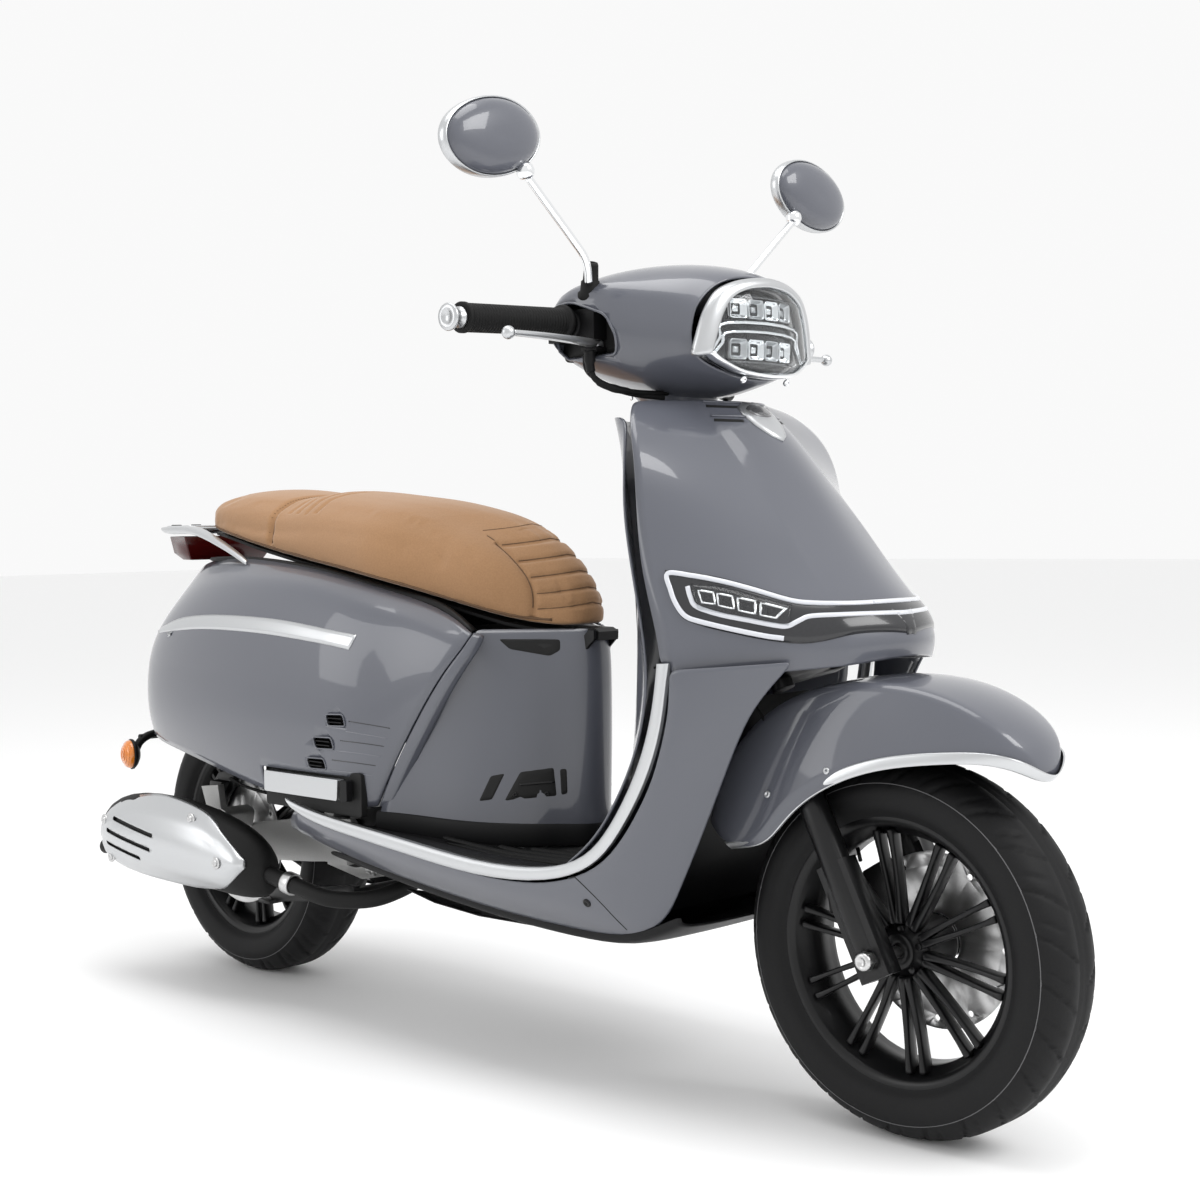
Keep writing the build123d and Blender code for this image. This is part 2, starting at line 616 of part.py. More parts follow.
# rider-side leg shield with the glove box face
IL = [  # z, x at |y| = 0, 60, 120, 165, edge x, edge y
    (884, 243, 247, 290, 322, 352, 170),
    (850, 256, 259, 298, 332, 362, 188),
    (772, 288, 290, 308, 340, 372, 202),
    (712, 297, 299, 314, 350, 386, 205),
    (652, 299, 301, 320, 364, 400, 206),
    (560, 300, 302, 316, 370, 420, 206),
    (470, 300, 302, 312, 356, 392, 204),
    (400, 296, 298, 304, 326, 352, 202),
    (352, 284, 286, 290, 300, 314, 200),
    (318, 264, 265, 266, 268, 270, 198),
]
P = []
for z, x0, x1, x2, x3, xe, ye in IL:
    half = [(0, x0), (60, x1), (120, x2), (165, x3), (ye, xe)]
    P.append([(x, -y, z) for y, x in reversed(half)] + [(x, y, z) for y, x in half[1:]])
inner_shield = between(P, [[(x + 3.4, y * 0.992, z) for x, y, z in row] for row in P])
put("inner_leg_shield", inner_shield)

# side skirts: trim-side edge then front or lower edge, on the right
SK = [
    ((460, -209, 557), (622, -167, 562)),
    ((457, -209, 528), (580, -168, 545)),
    ((452, -209, 499), (538, -169, 510)),
    ((429, -209, 436), (502, -168, 437)),
    ((402, -209, 394), (464, -167, 360)),
    ((377, -209, 359), (430, -167, 296)),
    ((333, -209, 314), (398, -168, 240)),
    ((251, -209, 283), (320, -172, 214)),
    ((180, -209, 278), (220, -174, 216)),
    ((107, -209, 276), (110, -176, 224)),
    ((-60, -209, 293), (-80, -176, 244)),
    ((-240, -206, 309), (-250, -174, 266)),
    ((-300, -203, 322), (-350, -172, 290)),
]


def skirt(side):
    P = []
    for (x0, y0, z0), (x1, y1, z1) in SK:
        row = []
        for k, bulge in ((0, 0), (0.3, 3.5), (0.65, 4.5), (1, 0)):
            row.append((x0 + (x1 - x0) * k, side * -1 * (y0 + (y1 - y0) * k ** 1.3 - bulge), z0 + (z1 - z0) * k))
        P.append(row)
    return skin(P, shell_t, lambda p: (p[0] - 30, p[1] * 0.2, p[2] + 60))


put("side_skirts", skirt(-1), skirt(1))

# bright trim along the rear edge of the leg shield and the floor edge
TR = [(448, 562), (440, 499), (415, 434), (367, 363), (323, 318), (245, 290), (106, 284), (-61, 301), (-255, 317), (-300, 333)]
TRI = [(436, 560), (427, 500), (402, 438), (357, 371), (314, 327), (241, 300), (105, 294), (-62, 311), (-262, 327), (-312, 342)]


def trim(side):
    O = [[(xo, side * 212.5, zo), (xi, side * 212.5, zi)] for (xo, zo), (xi, zi) in zip([(x + 10, z - 7) for x, z in TR], TRI)]
    I = [[(a[0], side * 209.8, a[2]) for a in r] for r in O]
    return between(O, I)


tt = []
for s_ in (-1, 1):
    t_ = trim(s_)
    t_ = t_ - NODES["side_skirts"].solids()[0 if s_ < 0 else 1] - NODES["front_panel"] - NODES["inner_leg_shield"]
    tt.append(big(t_))
put("side_trims", *tt)

# floor board and mat
fl = plate_xz([(262, 296), (262, 299.5), (100, 296), (-60, 305), (-170, 314), (-170, 310), (-60, 301), (100, 292)], -207, 207)
fl = fl - NODES["inner_leg_shield"] - NODES["side_skirts"].solids()[0] - NODES["side_skirts"].solids()[1]
fl = big(fl)
put("floor_panel", fl)
mat = plate_xz([(252, 300.0), (252, 304.5), (100, 301.0), (-40, 309.5), (-40, 305.0), (100, 297.0)], -168, 168)
foot = [(150, -50), (129, -94), (87, -131), (22, -160), (-62, -182), (-62, 182), (22, 160), (87, 131), (129, 94), (150, 50)]
mat = mat - plate_xy([(x + 2, y) for x, y in foot], 280, 330)
put("floor_mat", big(mat - NODES["floor_panel"]))

# ---------------------------------------------------------------- pedestal under the seat nose
PEDX = [  # (z, [(x, y) from the front centre round to the seam])
    (352, [(146, 0), (143, 48), (126, 92), (84, 128), (20, 156), (-60, 178), (-128, 189)]),
    (420, [(149, 0), (146, 48), (128, 90), (84, 124), (22, 152), (-30, 174), (-70, 188)]),
    (510, [(151, 0), (148, 48), (128, 86), (86, 118), (40, 144), (10, 164), (-8, 182)]),
    (572, [(151, 0), (148, 46), (126, 80), (92, 110), (66, 132), (50, 148), (38, 168)]),
]
def floor_top(x):
    return 299.5 if x > 262 else (296 + 3.5 * (x - 100) / 162.0 if x > 100 else (296 + 9 * (100 - x) / 160.0 if x > -60 else 305 + 9 * (-60 - x) / 110.0))


P = [[(x, -y, floor_top(x) + 1.0) for x, y in reversed(PEDX[0][1])] + [(x, y, floor_top(x) + 1.0) for x, y in PEDX[0][1][1:]]]
for z, half in PEDX:
    P.append([(x, -y, z) for x, y in reversed(half)] + [(x, y, z) for x, y in half[1:]])
ped = skin(P, shell_t, lambda p: (-200.0, 0.0, p[2]))
put("seat_pedestal", ped)
# ---------------------------------------------------------------- side cowls
CW = [  # bottom z, ridge z, top z, top y ; plan (x, y) at mid height ; how much upper rows pull in along x
    # x, y, zb, zr, zt, yt
    (-136, 190, 346, 600, 600, 168),
    (-200, 206, 342, 648, 662, 134),
    (-300, 214, 344, 670, 680, 134),
    (-420, 217, 358, 680, 696, 134),
    (-540, 212, 380, 680, 706, 130),
    (-640, 200, 394, 664, 700, 122),
    (-720, 184, 402, 640, 690, 110),
    (-780, 160, 408, 612, 676, 96),
    (-826, 122, 436, 586, 664, 72),
    (-848, 72, 462, 580, 656, 44),
    (-853, 14, 470, 576, 652, 12),
]


def cowl_grid(side):
    P = []
    # front edge follows the slanted seam with the pedestal
    seam = [(-131, 191, 346), (-104, 194.5, 388), (-66, 196.5, 440), (-22, 194, 500), (14, 189, 546), (40, 178, 578), (44, 160, 598)]
    P.append([(x, side * y, z) for x, y, z in seam])
    mid = [(-160, 199, 343), (-140, 205, 392), (-112, 208, 450), (-80, 205, 514), (-52, 199, 566), (-34, 182, 612), (-30, 146, 634)]
    P.append([(x, side * y, z) for x, y, z in mid])
    for x, y, zb, zr, zt, yt in CW[1:]:
        row = []
        rear = max(0.0, (-x - 600.0) / 250.0)
        for ky, kz, pull in ((0.93, 0.0, 0.0), (0.985, 0.16, 0.0), (1.0, 0.38, 0.0), (0.985, 0.62, 4), (0.93, 0.84, 14)):
            row.append((x + pull * rear, side * y * ky, zb + (zr - zb) * kz))
        row.append((x + 34 * rear, side * max(y * 0.80, yt + 4), zr))
        row.append((x + 90 * rear, side * yt, zt))
        P.append(row)
    return P


def cowl(side):
    s = skin(cowl_grid(side), shell_t, lambda p: (max(p[0], -640.0) * 0.9 - 40.0, p[1] * 0.1, 500.0))
    win = block(-382, -164, min(side * 180, side * 240), max(side * 180, side * 240), 325, 389)
    return big(s - win)


put("cowl_right", cowl(-1))
put("cowl_left", mir(NODES["cowl_right"]))


def footrest(side):
    b = block(-376, -170, min(side * 199, side * 214), max(side * 199, side * 214), 351.5, 385)
    bore = rod((-380, side * 203.2, 355.2), (-160, side * 203.2, 355.2), 1.8)
    # pivot barrel stays clear of the cowl
    return big(b - bore)


put("footrest_right", footrest(-1))
put("footrest_left", footrest(1))

# ---------------------------------------------------------------- seat
SEAT = [  # x, half width, bottom z at the edge, side bulge z, top z centre, crown drop at the shoulder
    (-700, 60, 752, 780, 796, 8),
    (-680, 92, 748, 780, 806, 12),
    (-620, 116, 742, 776, 815, 15),
    (-520, 126, 722, 765, 818, 18),
    (-420, 132, 704, 752, 812, 20),
    (-340, 138, 692, 742, 802, 22),
    (-240, 144, 676, 730, 796, 24),
    (-140, 146, 658, 716, 788, 26),
    (-60, 142, 640, 700, 776, 28),
    (0, 134, 626, 684, 764, 30),
    (50, 120, 614, 666, 744, 32),
    (90, 100, 606, 650, 712, 30),
    (120, 78, 604, 636, 676, 22),
    (136, 54, 608, 626, 648, 12),
]
R = []
for x, w, zb, zm, zt, dr in SEAT:
    half = [(0, zt), (w * 0.45, zt - dr * 0.25), (w * 0.8, zt - dr), (w * 0.97, zm + (zt - zm) * 0.35), (w, zm), (w * 0.98, zb + 14), (w * 0.93, zb)]
    R.append([(x, y, z) for y, z in half] + [(x, -y, z) for y, z in reversed(half[1:])])
seat = rings(R)
put("seat_cushion", seat)
# the pan closes the underside
R = []
for x, w, zb, zm, zt, dr in SEAT[1:-1]:
    w2 = w * 0.86
    R.append([(x, w2, zb - 0.6), (x, -w2, zb - 0.6), (x, -w2, zb - 5.0), (x, w2, zb - 5.0)])
pan = rings(R)
px, pz = seat_pivot
arm = plate_xz([(px - 9, pz - 6), (px + 7, pz - 8), (px + 8, pz + 4), (px - 2, pz + 9), (122, 606), (90, 606), (90, 598), (126, 598)], -24, 24)
arm = arm - NODES["seat_cushion"]
pan = pan.fuse(arm)
pan = pan - cyl_y(px, pz, 4.0 + fit, -40, 40)
pan = pan - NODES["seat_cushion"]
put("seat_base", big(pan))

# ---------------------------------------------------------------- bin and tank under the seat
bin_o = block(-405, -60, -112, 112, 430, 630)
bin_i = block(-402, -63, -109, 109, 433, 640)
sb = bin_o - bin_i
# the rim slopes with the seat line
sb = sb - plate_xz([(-420, 690), (-420, 672), (-40, 600), (-40, 690)], -200, 200)
put("storage_bin", big(sb))
tank = block(-690, -455, -72, 72, 556, 646)
tank = tank.fuse(rod((-500, 0, 640), (-500, 0, 672), 26))
put("fuel_tank", big(tank))

# ---------------------------------------------------------------- grab rail, tail lamp
rail_pts = [(-505, 152), (-560, 146), (-680, 134), (-790, 116), (-842, 92), (-852, 0)]
inner_pts = [(-505, 140), (-560, 132), (-672, 118), (-728, 104), (-742, 80), (-744, 0)]
O, I = [], []
def railz(x):
    return 712 + (758 - 712) * min(1.0, (-505 - x) / 175.0)
outline = [(x, y) for x, y in rail_pts] + [(x, -y) for x, y in reversed(rail_pts[:-1])]
inline = [(x, y) for x, y in inner_pts] + [(x, -y) for x, y in reversed(inner_pts[:-1])]
top = [[(xo, yo, railz(xo)), (xi, yi, railz(xi))] for (xo, yo), (xi, yi) in zip(outline, inline)]
bot = [[(xo, yo * 0.985, railz(xo) - 10 - 6 * max(0.0, min(1.0, (-560 - xo) / 200.0))), (xi, yi * 1.02, railz(xi) - 8)] for (xo, yo), (xi, yi) in zip(outline, inline)]
rail = between(top, bot)
holes = [Solid.make_cylinder(3.3, 60, Plane(origin=(x, y, 720))) for x in (-830, -770) for y in (-60, 60)]
pad = block(-846, -752, -76, 76, 744, 758)
rail = rail.fuse(pad)
for h in holes:
    rail = rail - h
put("grab_rail", big(rail))
lamp = rings([
    [(x, y, 741) for x, y in ((-838, 70), (-838, -70), (-760, -90), (-760, 90))],
    [(x, y, 712) for x, y in ((-832, 66), (-832, -66), (-760, -84), (-760, 84))],
    [(x, y, 700) for x, y in ((-815, 58), (-815, -58), (-764, -76), (-764, 76))],
])
put("tail_light", lamp)

# ---------------------------------------------------------------- rear mudguard, plate bracket, signals
MG = [(-424, 405), (-436, 458), (-480, 512), (-550, 538), (-640, 545), (-728, 532), (-792, 504), (-838, 464), (-881, 414)]
P = []
for x, z in MG:
    P.append([(x, -76, z - 16), (x, -62, z - 2), (x, 0, z), (x, 62, z - 2), (x, 76, z - 16)])
mud = skin(P, 2.5, lambda p: (p[0], p[1] * 2, 1400.0))
P2 = block(-890, -887, -62, 62, 398, 470)
gus = plate_xz([(-887, 405), (-887, 466), (-838, 466)], -30, -26).fuse(plate_xz([(-887, 405), (-887, 466), (-838, 466)], 26, 30))
arms = rod((-872, -118, 392), (-872, 118, 392), 5.0)
mud = mud.fuse(P2, gus, block(-889, -868, -14, 14, 390, 404), arms)
for y in (-42.5, 42.5):
    mud = mud - Solid.make_cylinder(3.3, 40, Plane(origin=(-900, y, 446), z_dir=(1, 0, 0)))
put("rear_mudguard", big(mud))


def signal(side):
    s = Solid.make_cylinder(17, 16, Plane(origin=(-870, side * 130, 364), z_dir=(-0.25, side * 0.97, 0)))
    n = rod((-872, side * 118.2, 392), (-870, side * 130, 366), 6)
    return big(s.fuse(n) - arms)


put("turn_signals", signal(-1), signal(1))

# ================================================================ frame tubes
def tubes(segs):
    out = None
    for a, b, r in segs:
        s = rod(a, b, r)
        out = s if out is None else out.fuse(s)
    return out


head_tube = rod(st(44), st(398), 27.0)
segs = [
    ((404, 0, 655), (344, 0, 420), 20.0), ((344, 0, 420), (312, 0, 275), 20.0), ((312, 0, 275), (252, 0, 238), 19.0),
]
frame_ = head_tube.fuse(tube([(404, 0, 655), (344, 0, 420), (312, 0, 275), (252, 0, 238)], 20.0, [60, 55]))
frame_ = frame_.fuse(rod((254, -104, 237), (254, 104, 237), 15.0))
for s_ in (-1, 1):
    y1, y2 = s_ * 108.0, s_ * 134.0
    chain = [(262, y1, 236), (-120, y1, 240), (-168, s_ * 118.0, 330), (-232, y2, 520), (-300, y2, 600), (-430, y2 * 0.93, 640), (-670, y2 * 0.80, 664)]
    frame_ = frame_.fuse(tube(chain, 11.0, [55, 55, 55, 55, 55]))
frame_ = frame_.fuse(rod((-658, -104, 663.4), (-658, 104, 663.4), 9.0))
frame_ = frame_.fuse(rod((-168, -114, 330.5), (-168, 114, 330.5), 10.0))
# hanger plates for the engine pivot and the shock's upper lug
for s_ in (-1, 1):
    pl_ = plate_xz([(-150, 300), (-150, 345), (-262, 322), (-288, 316), (-288, 284), (-262, 282)], min(s_ * 108, s_ * 116), max(s_ * 108, s_ * 116))
    frame_ = frame_.fuse(pl_)
frame_ = frame_.fuse(cyl_y(engine_pivot[0], engine_pivot[1], 8.0, -122, 122))
top_eye = (-585.0, 626.0)
low_eye = (-625.0, 330.0)
frame_ = frame_.fuse(cyl_y(top_eye[0], top_eye[1], 6.0, 88, 122))
frame_ = frame_.fuse(plate_xz([(-600, 614), (-570, 614), (-560, 662), (-608, 662)], 86, 91.5))
frame_ = frame_.fuse(plate_xz([(-600, 614), (-570, 614), (-560, 662), (-608, 662)], 118.5, 124))
# seat hinge bracket on a riser from the floor rails
frame_ = frame_.fuse(rod((60, -108, 240), (110, -60, 560), 9.0), rod((60, 108, 240), (110, 60, 560), 9.0), rod((110, -55, 560.4), (110, 55, 560.4), 8.0))
br = plate_xz([(100, 556), (116, 548), (163, 590), (163, 602), (152, 602)], -33, -27).fuse(plate_xz([(100, 556), (116, 548), (163, 590), (163, 602), (152, 602)], 27, 33))
frame_ = frame_.fuse(br, cyl_y(px, pz, 4.0, -33, 33))
frame_ = frame_ - rod(st(0), st(420), 15.0 + fit)
put("main_frame", big(frame_))
for n_ in ("seat_pedestal", "inner_leg_shield", "under_tray", "front_panel", "floor_panel"):
    q = NODES[n_] - NODES["main_frame"]
    put(n_, big(q))

# ================================================================ engine unit
ex, ez = engine_pivot
case = plate_xz([(-418, 214), (-330, 200), (-262, 214), (-236, 252), (-250, 330), (-300, 362), (-392, 350), (-424, 300)], -62, 96)
# belt case reaching back to the axle on the left
belt = plate_xz([(-330, 206), (-330, 330), (-420, 348), (-560, 322), (-664, 300), (-716, 268), (-722, 214), (-690, 180), (-640, 170), (-480, 188)], 74, 124)
case = case.fuse(belt)
case = case.fuse(plate_xz([(-430, 240), (-400, 240), (-400, 330), (-430, 330)], 60, 96))
# barrel and head leaning forward
barrel = Solid.extrude(Face(Wire.make_rect(104, 96, Plane(origin=(-262, 10, 262), x_dir=(0, 1, 0), z_dir=(1, 0, -0.12)))), Vector(96, 0, -11.5))
case = case.fuse(barrel)
# hanger ears round the pivot
ears = plate_xz([(-300, 250), (-252, 250), (-252, 312), (-262, 318), (-278, 318), (-300, 318)], -100, 100)
case = case.fuse(ears)
# right-hand swing arm
arm_r = plate_xz([(-300, 236), (-300, 300), (-420, 292), (-640, 258), (-690, 246), (-694, 214), (-664, 200), (-420, 222)], -92, -78)
case = case.fuse(arm_r, block(-418, -330, -92, -60, 226, 288))
spindle = cyl_y(rear_x, wz, 12.0, -96, 122)
case = case.fuse(spindle)
case = case.fuse(plate_xz([(-600, 300), (-655, 300), (-640, 344), (-612, 344)], 76, 84), plate_xz([(-600, 300), (-655, 300), (-640, 344), (-612, 344)], 118.5, 125))
case = case.fuse(cyl_y(low_eye[0], low_eye[1], 5.0, 78, 123))
case = case - cyl_y(ex, ez, 8.0 + fit, -130, 130)
# caliper lug
case = case.fuse(plate_xz([(-690, 236), (-660, 240), (-676, 322), (-724, 316)], -92, -80))
put("engine_case", big(case))

rcal = plate_xz([(-738, 268), (-716, 250), (-690, 296), (-668, 318), (-672, 346), (-714, 338), (-744, 306)], -64, -40)
rcal = rcal - cyl_y(rear_x, wz, disc_radius + 2.0, -55.4, -48.6)
rcal = rcal.fuse(plate_xz([(-726, 290), (-700, 300), (-680, 325), (-716, 326)], -80, -64))
put("rear_caliper", big(rcal))

# silencer and header
MX = [(-424, 34, 40, 216, -172), (-450, 52, 54, 224, -180), (-520, 62, 62, 238, -188), (-640, 66, 66, 252, -194), (-740, 62, 62, 256, -196), (-800, 50, 50, 254, -196), (-836, 30, 32, 248, -196)]
R = []
for x, ry, rz, zc, yc in MX:
    R.append([(x, yc + ry * 0.72 * math.cos(math.radians(a)), zc + rz * math.sin(math.radians(a))) for a in range(0, 360, 24)])
muf = rings(R)
R = []
for x, ry, rz, zc, yc in MX[1:-1]:
    R.append([(x, yc + (ry - 4) * 0.72 * math.cos(math.radians(a)), zc + (rz - 3.2) * math.sin(math.radians(a))) for a in range(0, 360, 24)])
muf = muf - rings(R)
hdr = [(-196, -48, 222), (-206, -98, 196), (-262, -146, 186), (-340, -168, 200), (-436, -172, 214)]
rr = []
for i in range(1, len(hdr) - 1):
    a, b, c = Vector(*hdr[i - 1]), Vector(*hdr[i]), Vector(*hdr[i + 1])
    turn = (b - a).get_angle(c - b)
    rr.append(0.42 * min((b - a).length, (c - b).length) / math.tan(math.radians(turn) / 2))
header = tube(hdr, 13.0, rr)
muf = muf.fuse(header)
muf = muf.fuse(block(-600, -560, -150, -93, 262, 276), block(-480, -450, -150, -93, 236, 250))
muf = muf.fuse(rod((-800, -200, 222), (-848, -200, 214), 11))
muf = muf - NODES["engine_case"]
put("muffler", big(muf))
SHD = [(-448, [(184, 0.0), (206, 0.0), (228, 0), (246, 0)]), ]
O = []
for x, zs in ((-446, (206, 218, 230, 240)), (-500, (190, 216, 246, 268)), (-560, (184, 222, 262, 290)), (-640, (182, 228, 274, 306)), (-730, (182, 230, 278, 312)), (-790, (186, 228, 268, 300)), (-822, (196, 224, 250, 276))):
    row = []
    for z in zs:
        # distance out from the silencer's own ellipse
        for (x0, ry0, rz0, zc0, yc0), (x1, ry1, rz1, zc1, yc1) in zip(MX[:-1], MX[1:]):
            if x0 >= x >= x1:
                k = (x0 - x) / (x0 - x1)
                ry, rz, zc, yc = [p + (q - p) * k for p, q in ((ry0, ry1), (rz0, rz1), (zc0, zc1), (yc0, yc1))]
        s_ = max(-0.985, min(0.985, (z - zc) / (rz + 6)))
        row.append((x, yc - (ry * 0.72 + 7) * math.sqrt(1 - s_ * s_) - 2.0, z))
    O.append(row)
hsd = skin(O, 1.6, lambda p: (p[0], 0.0, 250.0))
hsd = hsd - NODES["muffler"]
put("heat_shield", big(hsd))

# centre stand, folded up under the engine
cs_p = (-300.0, 196.0)
cs = cyl_y(cs_p[0], cs_p[1] - 8, 9.0, -108, 108)
for s_ in (-1, 1):
    y0, y1 = sorted((s_ * 96, s_ * 108))
    leg = plate_xz([(-294, 178), (-306, 178 - 3), (-500, 150), (-516, 158), (-512, 170), (-310, 199), (-294, 199)], y0, y1)
    cs = cs.fuse(leg, block(-524, -494, min(s_ * 94, s_ * 122), max(s_ * 94, s_ * 122), 148, 154))
put("centre_stand", big(cs))

# ---------------------------------------------------------------- shock absorber on the left
sy = 105.0
T = (top_eye[0], sy, top_eye[1])
L = (low_eye[0], sy, low_eye[1])
d = unit(sub(L, T))
length = math.dist(T, L)
def along(k):
    return add(T, d, k)
body = rod(along(0), along(2), 5)
body = cyl_y(top_eye[0], top_eye[1], 13.0, sy - 7, sy + 7)
body = body.fuse(rod(along(8), along(34), 12.0), rod(along(30), along(38), 26.0), rod(along(36), along(150), 15.0))
body = body - rod(along(60), along(160), 8.0 + fit) - cyl_y(top_eye[0], top_eye[1], 6.0 + 0.02, sy - 30, sy + 30)
put("shock_body", big(body))
rodp = rod(along(118), along(length - 10), 8.0)
rodp = rodp.fuse(rod(along(length - 52), along(length - 40), 24.0), rod(along(length - 46), along(length - 8), 11.0), cyl_y(low_eye[0], low_eye[1], 13.0, sy - 6, sy + 6))
rodp = rodp - cyl_y(low_eye[0], low_eye[1], 5.0 + 2.2, sy - 30, sy + 30)
put("shock_rod", big(rodp))
# coil spring: rings of wire between the two seats
coil = Helix(pitch=(length - 52.5 - 38.5 - 8.6) / 7.0, height=length - 52.5 - 38.5 - 8.6, radius=20.5)
pl = Plane(origin=along(38.3 + 4.3), z_dir=d)
prof = Plane(origin=coil @ 0, z_dir=coil % 0) * Circle(3.8)
spring = sweep(prof, path=coil, is_frenet=True)
spring = pl * spring
put("shock_spring", spring)

for name, shape in NODES.items():
    export_step(shape, f"parts/{name}.step")
print(len(NODES), "nodes")
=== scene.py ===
import bpy
import bmesh
import json
import math
from mathutils import Vector, Matrix
from mathutils.bvhtree import BVHTree

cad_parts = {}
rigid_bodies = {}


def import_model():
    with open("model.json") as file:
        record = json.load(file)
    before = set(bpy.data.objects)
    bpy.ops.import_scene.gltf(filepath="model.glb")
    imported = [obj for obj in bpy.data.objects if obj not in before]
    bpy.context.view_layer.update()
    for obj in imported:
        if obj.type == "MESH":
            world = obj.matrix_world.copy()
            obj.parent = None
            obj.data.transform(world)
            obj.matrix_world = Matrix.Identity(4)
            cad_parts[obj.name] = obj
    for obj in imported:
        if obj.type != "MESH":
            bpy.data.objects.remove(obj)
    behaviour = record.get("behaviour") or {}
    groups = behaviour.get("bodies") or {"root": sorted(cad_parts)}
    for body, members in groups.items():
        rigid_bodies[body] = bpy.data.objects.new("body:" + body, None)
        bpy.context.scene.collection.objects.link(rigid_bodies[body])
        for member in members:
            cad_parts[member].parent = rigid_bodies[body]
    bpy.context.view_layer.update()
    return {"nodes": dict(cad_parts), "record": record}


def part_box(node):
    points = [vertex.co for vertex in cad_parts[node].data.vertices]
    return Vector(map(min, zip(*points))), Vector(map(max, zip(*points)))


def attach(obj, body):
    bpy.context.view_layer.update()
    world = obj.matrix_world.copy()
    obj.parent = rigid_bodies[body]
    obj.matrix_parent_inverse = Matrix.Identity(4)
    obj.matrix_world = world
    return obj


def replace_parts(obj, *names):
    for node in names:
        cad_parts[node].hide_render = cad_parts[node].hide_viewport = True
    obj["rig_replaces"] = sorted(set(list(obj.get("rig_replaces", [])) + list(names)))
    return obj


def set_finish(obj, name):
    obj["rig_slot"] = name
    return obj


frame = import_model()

CAD = frame["nodes"]
BODY = {n: b for b, ns in frame["record"]["behaviour"]["bodies"].items() for n in ns}
SLOT = {s["node"]: s["material_slot"] for s in frame["record"]["subparts"]}
RAKE = math.radians(26.0)


def st(t, f=0.0, y=0.0):
    return (268 + math.sin(RAKE) * t + math.cos(RAKE) * f, y, 940 - math.cos(RAKE) * t + math.sin(RAKE) * f)


# ------------------------------------------------------------------ materials
def material(name, base, rough, metal=0.0, coat=0.0, coat_rough=0.05, scale=900.0, bump=0.12, dist=0.00015,
             spread=0.06, tint=0.05, stretch=(1, 1, 1), ior=1.45, trans=0.0, sheen=0.0, alpha=1.0, emit=None, big=6.0, spec=0.5):
    m = bpy.data.materials.new(name)
    m.use_nodes = True
    nt = m.node_tree
    p = nt.nodes["Principled BSDF"]
    co = nt.nodes.new("ShaderNodeTexCoord")
    mp = nt.nodes.new("ShaderNodeMapping")
    mp.inputs["Scale"].default_value = stretch
    nt.links.new(co.outputs["Object"], mp.inputs["Vector"])
    fine = nt.nodes.new("ShaderNodeTexNoise")
    fine.inputs["Scale"].default_value = scale
    fine.inputs["Detail"].default_value = 3.0
    nt.links.new(mp.outputs["Vector"], fine.inputs["Vector"])
    wide = nt.nodes.new("ShaderNodeTexNoise")
    wide.inputs["Scale"].default_value = big
    wide.inputs["Detail"].default_value = 4.0
    nt.links.new(co.outputs["Object"], wide.inputs["Vector"])
    ramp = nt.nodes.new("ShaderNodeMapRange")
    ramp.inputs["To Min"].default_value = max(0.02, rough - spread)
    ramp.inputs["To Max"].default_value = min(1.0, rough + spread)
    nt.links.new(wide.outputs["Fac"], ramp.inputs["Value"])
    nt.links.new(ramp.outputs["Result"], p.inputs["Roughness"])
    mix = nt.nodes.new("ShaderNodeMix")
    mix.data_type = "RGBA"
    mix.inputs["A"].default_value = (*[c * (1 - tint) for c in base], 1)
    mix.inputs["B"].default_value = (*[min(1.0, c * (1 + tint)) for c in base], 1)
    nt.links.new(fine.outputs["Fac"], mix.inputs["Factor"])
    nt.links.new(mix.outputs["Result"], p.inputs["Base Color"])
    if bump:
        b = nt.nodes.new("ShaderNodeBump")
        b.inputs["Strength"].default_value = bump
        b.inputs["Distance"].default_value = dist
        nt.links.new(fine.outputs["Fac"], b.inputs["Height"])
        nt.links.new(b.outputs["Normal"], p.inputs["Normal"])
    p.inputs["Metallic"].default_value = metal
    p.inputs["Coat Weight"].default_value = coat
    p.inputs["Coat Roughness"].default_value = coat_rough
    p.inputs["IOR"].default_value = ior
    p.inputs["Specular IOR Level"].default_value = spec
    p.inputs["Transmission Weight"].default_value = trans
    p.inputs["Sheen Weight"].default_value = sheen
    p.inputs["Sheen Roughness"].default_value = 0.45
    p.inputs["Alpha"].default_value = alpha
    if emit:
        p.inputs["Emission Color"].default_value = (*emit, 1)
        p.inputs["Emission Strength"].default_value = 0.18
    m.diffuse_color = (*base, 1)
    return m


